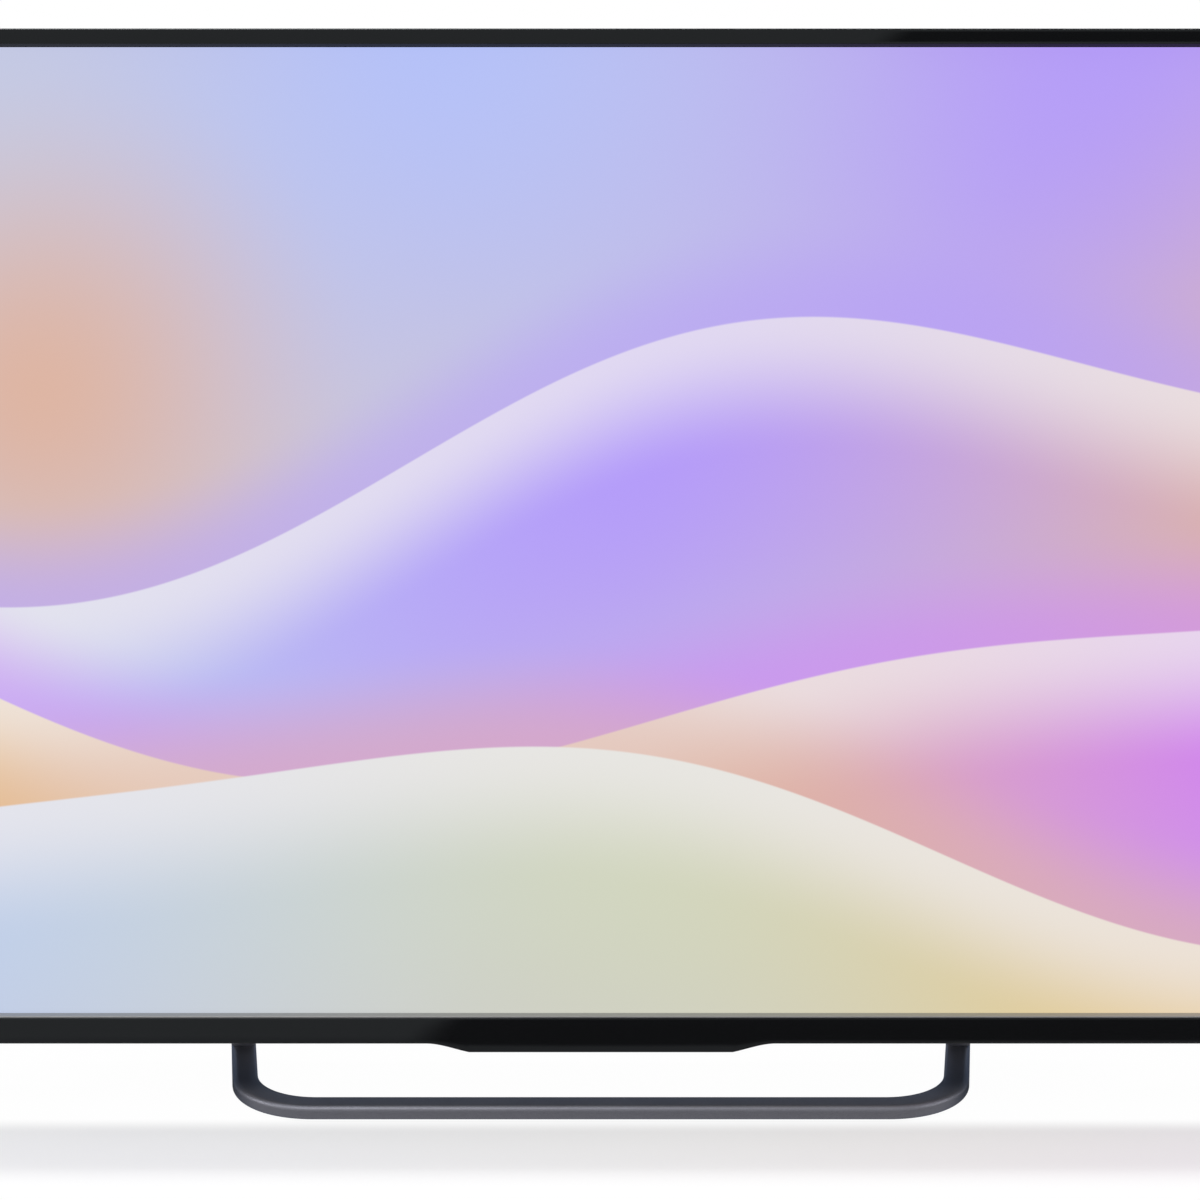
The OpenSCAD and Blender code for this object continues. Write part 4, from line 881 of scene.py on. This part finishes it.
class TELEVISION_OT_keys(Operator):
    """Press keys: a round stem, a stop flange, and a cap with a rounded edge and a shallow dish"""

    bl_idname = "television.keys"
    bl_label = "Press Keys"

    def execute(self, context):
        sizes = context.scene.television_sizes
        edge, dish = sizes.key_edge, sizes.key_dish
        stem, stem_corner, tip, tip_corner = 1.8 * MM, 1.75 * MM, 1.6 * MM, 1.56 * MM
        tip_length, stem_length, flange_end = 0.2 * MM, 4 * MM, 5.2 * MM
        flange_corner, cap_corner, dish_corner = 0.5 * MM, 1.2 * MM, 0.5 * MM
        side_step, end_step = 1.2 * MM, 0.8 * MM
        dish_share, corner_share = 0.75, 0.8
        bend = np.linspace(0, math.pi / 2, 6)
        inset = edge * (1 - np.cos(bend))
        hollow = np.linspace(0.2, 1, 5)
        for name in KEYS:
            low, high = corners(name)
            middle = (low + high) / 2
            flange_a, flange_b = (high[1] - low[1]) / 2, (high[2] - low[2]) / 2
            cap_a, cap_b = flange_a - side_step, flange_b - end_step
            shrink = edge + hollow * (cap_a - edge) * dish_share
            under, over = low[0] + stem_length, low[0] + flange_end

            # Rings from the stem's tip out to the dish: place, half sizes and corner radius
            x = np.concatenate([[low[0], low[0] + tip_length, under, under, over, over],
                                high[0] - edge + edge * np.sin(bend),
                                high[0] - dish * hollow * (2 - hollow)])
            a = np.concatenate([[tip, stem, stem, flange_a, flange_a, cap_a],
                                cap_a - inset, cap_a - shrink])
            b = np.concatenate([[tip, stem, stem, flange_b, flange_b, cap_b],
                                cap_b - inset, cap_b - shrink])
            r = np.concatenate([[tip_corner, stem_corner, stem_corner, flange_corner, flange_corner,
                                 cap_corner],
                                cap_corner - inset * corner_share,
                                np.full(len(hollow), dish_corner)])
            rings = along_x(x, rounded_ring(a, b, r, turns=4), middle)
            new_piece(name + "_cap", name, *loft(rings), body=name)
        return {"FINISHED"}


def edge_angles(mesh):
    """Both ends of each edge of a closed mesh, its angle, and whether it stands out.

    The angle is between its two faces. The edge stands out where the middle of one face lies below
    the plane of the other.
    """
    points = np.empty(len(mesh.vertices) * 3)
    mesh.vertices.foreach_get("co", points)
    pairs = np.empty(len(mesh.edges) * 2, int)
    mesh.edges.foreach_get("vertices", pairs)
    totals = np.empty(len(mesh.polygons), int)
    normals, middles = np.empty((2, len(mesh.polygons) * 3))
    for name, values in (("loop_total", totals), ("normal", normals), ("center", middles)):
        mesh.polygons.foreach_get(name, values)
    edges = np.empty(len(mesh.loops), int)
    mesh.loops.foreach_get("edge_index", edges)
    owner = np.repeat(np.arange(len(totals)), totals)
    one, other = owner[np.argsort(edges, kind="stable")].reshape(-1, 2).T
    normals, middles = normals.reshape(-1, 3), middles.reshape(-1, 3)
    angle = np.arccos(np.clip((normals[one] * normals[other]).sum(1), -1, 1))
    stands_out = ((middles[other] - middles[one]) * normals[one]).sum(1) < 0
    return points.reshape(-1, 3)[pairs.reshape(-1, 2)], angle, stands_out


class TELEVISION_OT_rear_cover(Operator):
    """Rear cover: its CAD form with the rim, the sloping border and its corners rounded over"""

    bl_idname = "television.rear_cover"
    bl_label = "Rear Cover"

    def execute(self, context):
        mesh = NODES["rear_cover"].data.copy()
        work = bmesh.new()
        work.from_mesh(mesh)
        same_place = 0.001 * MM
        bmesh.ops.remove_doubles(work, verts=work.verts, dist=same_place)
        work.to_mesh(mesh)
        work.free()
        if mesh.has_custom_normals:
            mesh.attributes.remove(mesh.attributes["custom_normal"])

        # The border's edges are the only long ones beyond the hump that stand out at such an angle
        hump_share, shortest, least, most = 0.6239, 30 * MM, math.radians(30), math.radians(60)
        ends, angle, stands_out = edge_angles(mesh)
        span = np.linalg.norm(ends[:, 1] - ends[:, 0], axis=1)
        aside = np.abs(ends[..., 0])
        beyond_hump = aside.min(1) > hump_share * aside.max()
        border = stands_out & beyond_hump & (span > shortest) & (angle > least) & (angle < most)
        weight = mesh.attributes.new("bevel_weight_edge", "FLOAT", "EDGE")
        weight.data.foreach_set("value", border.astype(float))
        smooth(mesh, COVER_SHARP_ANGLE)
        sharp = np.empty(len(mesh.edges), bool)
        mesh.attributes["sharp_edge"].data.foreach_get("value", sharp)
        mesh.attributes["sharp_edge"].data.foreach_set("value", sharp & ~border)
        mesh.materials.clear()
        piece = finished("rear_cover_shell", "rear_cover", mesh)
        round_over = piece.modifiers.new("round_over", "BEVEL")
        round_over.limit_method, round_over.segments = "WEIGHT", 5
        round_over.width = context.scene.television_sizes.cover_edge
        round_over.use_clamp_overlap = False
        piece.modifiers.new("even_light", "WEIGHTED_NORMAL").keep_sharp = True
        return {"FINISHED"}


class TELEVISION_OT_finishes(Operator):
    """Finishes of the pieces whose CAD form is shown as it is"""

    bl_idname = "television.finishes"
    bl_label = "Other Finishes"

    def execute(self, context):
        for name, node in NODES.items():
            if not node.hide_render:
                node.data.materials.clear()
                node.data.materials.append(material(SLOTS[name]))
        return {"FINISHED"}


# Stage

WHITE = (1, 1, 1)
PALE = (0.86, 0.86, 0.86)
# Dark of the flag and of the floor's strip, which only mirrors see: a painted reflection
PAINTED_REFLECTION_DARK = (0.17, 0.17, 0.17)


def softbox(name, place, aim, width, height, power):
    """An area lamp at a place, turned towards the point that it aims at."""
    lamp = bpy.data.lights.new(name, "AREA")
    lamp.shape = "RECTANGLE"
    lamp.size, lamp.size_y, lamp.energy = width, height, power
    holder = placed(name, lamp)
    holder.location = place
    x, y, z = np.array(aim) - np.array(place)
    holder.rotation_euler = (math.atan2(math.hypot(x, y), -z), 0, math.atan2(-x, y))


def stage_sheet(name, points, look, *values):
    """A flat piece of the stage between four points, which is no part of the object."""
    mesh = bpy.data.meshes.new(name)
    mesh.from_pydata(points, [], [(0, 1, 2, 3)])
    made = bpy.data.materials.new(name)
    made.use_nodes = True
    sheet = Sheet(made.node_tree)
    sheet.node("ShaderNodeOutputMaterial", {"Surface": look(sheet, *values)})
    mesh.materials.append(made)
    piece = placed(name, mesh)
    return piece


def rays(sheet):
    """Three values that are one for rays from the camera, from a mirror and through glass."""
    outputs = sheet.node("ShaderNodeLightPath").socket.node.outputs
    kinds = ("Is Camera Ray", "Is Glossy Ray", "Is Transmission Ray")
    return [Value(sheet, outputs[kind]) for kind in kinds]


def floor_look(sheet):
    """Pale floor, white to the camera but for a soft grey band before the set: a painted shadow
    band, in which the floor's real light and shade show through.

    A mirror sees it darker under the set, a painted shade, and dark in a strip before the right
    half, a painted reflection which the gloss of the bottom edge shows. Places are in metres ahead
    of the face and from the middle.
    """
    x, y, _ = sheet.axes()
    ahead = FACE_Y - y
    # Painted shadow band ahead of the set: here the floor's own light drops, so its real light and
    # shade show
    painted_shadow_band = (ahead.rise(0.012, 0.03) * ahead.rise(0.06, 0.1, 1.0, 0.0)
            * abs(x).rise(0.42, 0.7, 1.0, 0.0))
    # Painted shade under the set, which only mirrors see
    under = ahead.rise(-0.01, 0.01, 1.0, 0.0)
    # A dark strip that only mirrors see: a painted reflection in the gloss of the bottom edge
    strip = x.rise(-0.119, -0.093) * ahead.rise(0.06, 0.07) * ahead.rise(0.3, 0.4, 1.0, 0.0)
    camera, glossy, through = rays(sheet)
    seen = camera.higher(through).higher(glossy * (1 - 0.9 * under))
    pale = sheet.node("ShaderNodeBsdfDiffuse", {"Color": PALE})
    floor = sheet.blend((0.985 - 0.75 * painted_shadow_band) * seen, pale, sheet.glow(WHITE))
    return sheet.blend(glossy * strip, floor, sheet.glow(PAINTED_REFLECTION_DARK))


def painted_reflection_flag_look(sheet):
    """Dark flag, seen only in the gloss as a painted reflection, that starts softly, along a
    slanting line.
    """
    x, _, z = sheet.axes()
    start, level, slant, soft = 0.169, 0.6, 0.462, 0.012
    inside = (x - start - slant * (z - level)).rise(-soft, soft)
    return sheet.blend(inside, sheet.node("ShaderNodeBsdfTransparent"), sheet.glow(PAINTED_REFLECTION_DARK))


class TELEVISION_OT_stage(Operator):
    """Stage: pale floor with a painted shadow band, white surroundings, soft lamps, a flag and
    cards that paint reflections and highlights in the gloss, and the camera
    """

    bl_idname = "television.stage"
    bl_label = "Stage"

    def execute(self, context):
        scene = context.scene
        scene.view_settings.view_transform = "Standard"

        reach = 6.0
        stage_sheet("floor", [(-reach, -reach, 0), (reach, -reach, 0), (reach, reach, 0),
                              (-reach, reach, 0)], floor_look)

        # A dark flag before the right half of the top edge, and a bright glowing card on each side,
        # ahead of the face:
        # only their mirror in the gloss is seen, as a painted darker reflection and painted
        # highlights on the stand's corners
        left, right, bottom, top = 0.1, 0.62, 0.59, 0.613
        # The flag paints a darker reflection on the right half of the top edge
        flag_y = FACE_Y - 0.06
        mirrored = [stage_sheet("flag", [(left, flag_y, bottom), (right, flag_y, bottom),
                                         (right, flag_y, top), (left, flag_y, top)], painted_reflection_flag_look)]
        card_y = -0.42
        # Glowing cards that only mirrors see: painted highlights on the stand's corners
        for side, name, strength in ((-1, "left_highlight_card", 10.0), (1, "right_highlight_card", 6.0)):
            foot, head = (side * 1.43, 0.44), (side * 1.1, 0.94)
            points = [(x, y, z) for (x, z), y in
                      ((foot, card_y), (foot, FACE_Y), (head, FACE_Y), (head, card_y))]
            mirrored.append(stage_sheet(name, points, Sheet.glow, WHITE, strength))
        # Hidden from the camera, from diffuse light and from shadows: these paint only reflections
        # and highlights
        for piece in mirrored:
            piece.visible_camera = piece.visible_diffuse = piece.visible_shadow = False
            piece.visible_transmission = piece.visible_volume_scatter = False

        world = scene.world or bpy.data.worlds.new("surroundings")
        scene.world = world
        world.use_nodes = True
        sheet = Sheet(world.node_tree)
        soft, white = (sheet.node("ShaderNodeBackground", {"Color": WHITE, "Strength": strength})
                       for strength in (0.55, 1.0))
        camera, glossy, through = rays(sheet)
        both = sheet.blend(camera.higher(glossy).higher(through), soft, white)
        sheet.node("ShaderNodeOutputWorld", {"Surface": both})

        softbox("overhead_strip", place=(0, 0.17, 2.3), aim=(0, -0.03, 0.2),
                width=2.4, height=0.08, power=26)
        softbox("front_softbox", place=(-0.8, -0.95, 2.9), aim=(0, -0.05, 0.0),
                width=1.6, height=1.2, power=36)

        distance, eye_level = 0.842, 0.3662
        camera = bpy.data.cameras.new("photo_view")
        camera.lens, camera.sensor_width = 46.26, 36
        camera.shift_x, camera.shift_y = -0.0007, -0.1352
        scene.camera = placed("photo_view", camera)
        scene.camera.location = (0, FACE_Y - distance, eye_level)
        scene.camera.rotation_euler = (math.pi / 2, 0, 0)
        return {"FINISHED"}


class TELEVISION_PT_pieces(Panel):
    """The pieces, in the order in which they are made"""

    bl_label = "Television"
    bl_space_type = "VIEW_3D"
    bl_region_type = "UI"
    bl_category = "Television"

    def draw(self, context):
        for step in STEPS:
            self.layout.operator(step.bl_idname)
        for group in (context.scene.television_sizes, context.scene.television_colours):
            for name in group.__annotations__:
                self.layout.prop(group, name)


STEPS = (
    TELEVISION_OT_front_bezel,
    TELEVISION_OT_lower_trim,
    TELEVISION_OT_screen,
    TELEVISION_OT_stand,
    TELEVISION_OT_keys,
    TELEVISION_OT_rear_cover,
    TELEVISION_OT_finishes,
    TELEVISION_OT_stage,
)
CLASSES = (TelevisionSizes, TelevisionColours, *STEPS, TELEVISION_PT_pieces)


def register():
    for cls in CLASSES:
        bpy.utils.register_class(cls)
    bpy.types.Scene.television_sizes = PointerProperty(type=TelevisionSizes)
    bpy.types.Scene.television_colours = PointerProperty(type=TelevisionColours)


def unregister():
    del bpy.types.Scene.television_colours
    del bpy.types.Scene.television_sizes
    for cls in reversed(CLASSES):
        bpy.utils.unregister_class(cls)


def main():
    register()
    bpy.ops.television.front_bezel()
    bpy.ops.television.lower_trim()
    bpy.ops.television.screen()
    bpy.ops.television.stand()
    bpy.ops.television.keys()
    bpy.ops.television.rear_cover()
    bpy.ops.television.finishes()
    bpy.ops.television.stage()


if __name__ == "__main__":
    main()
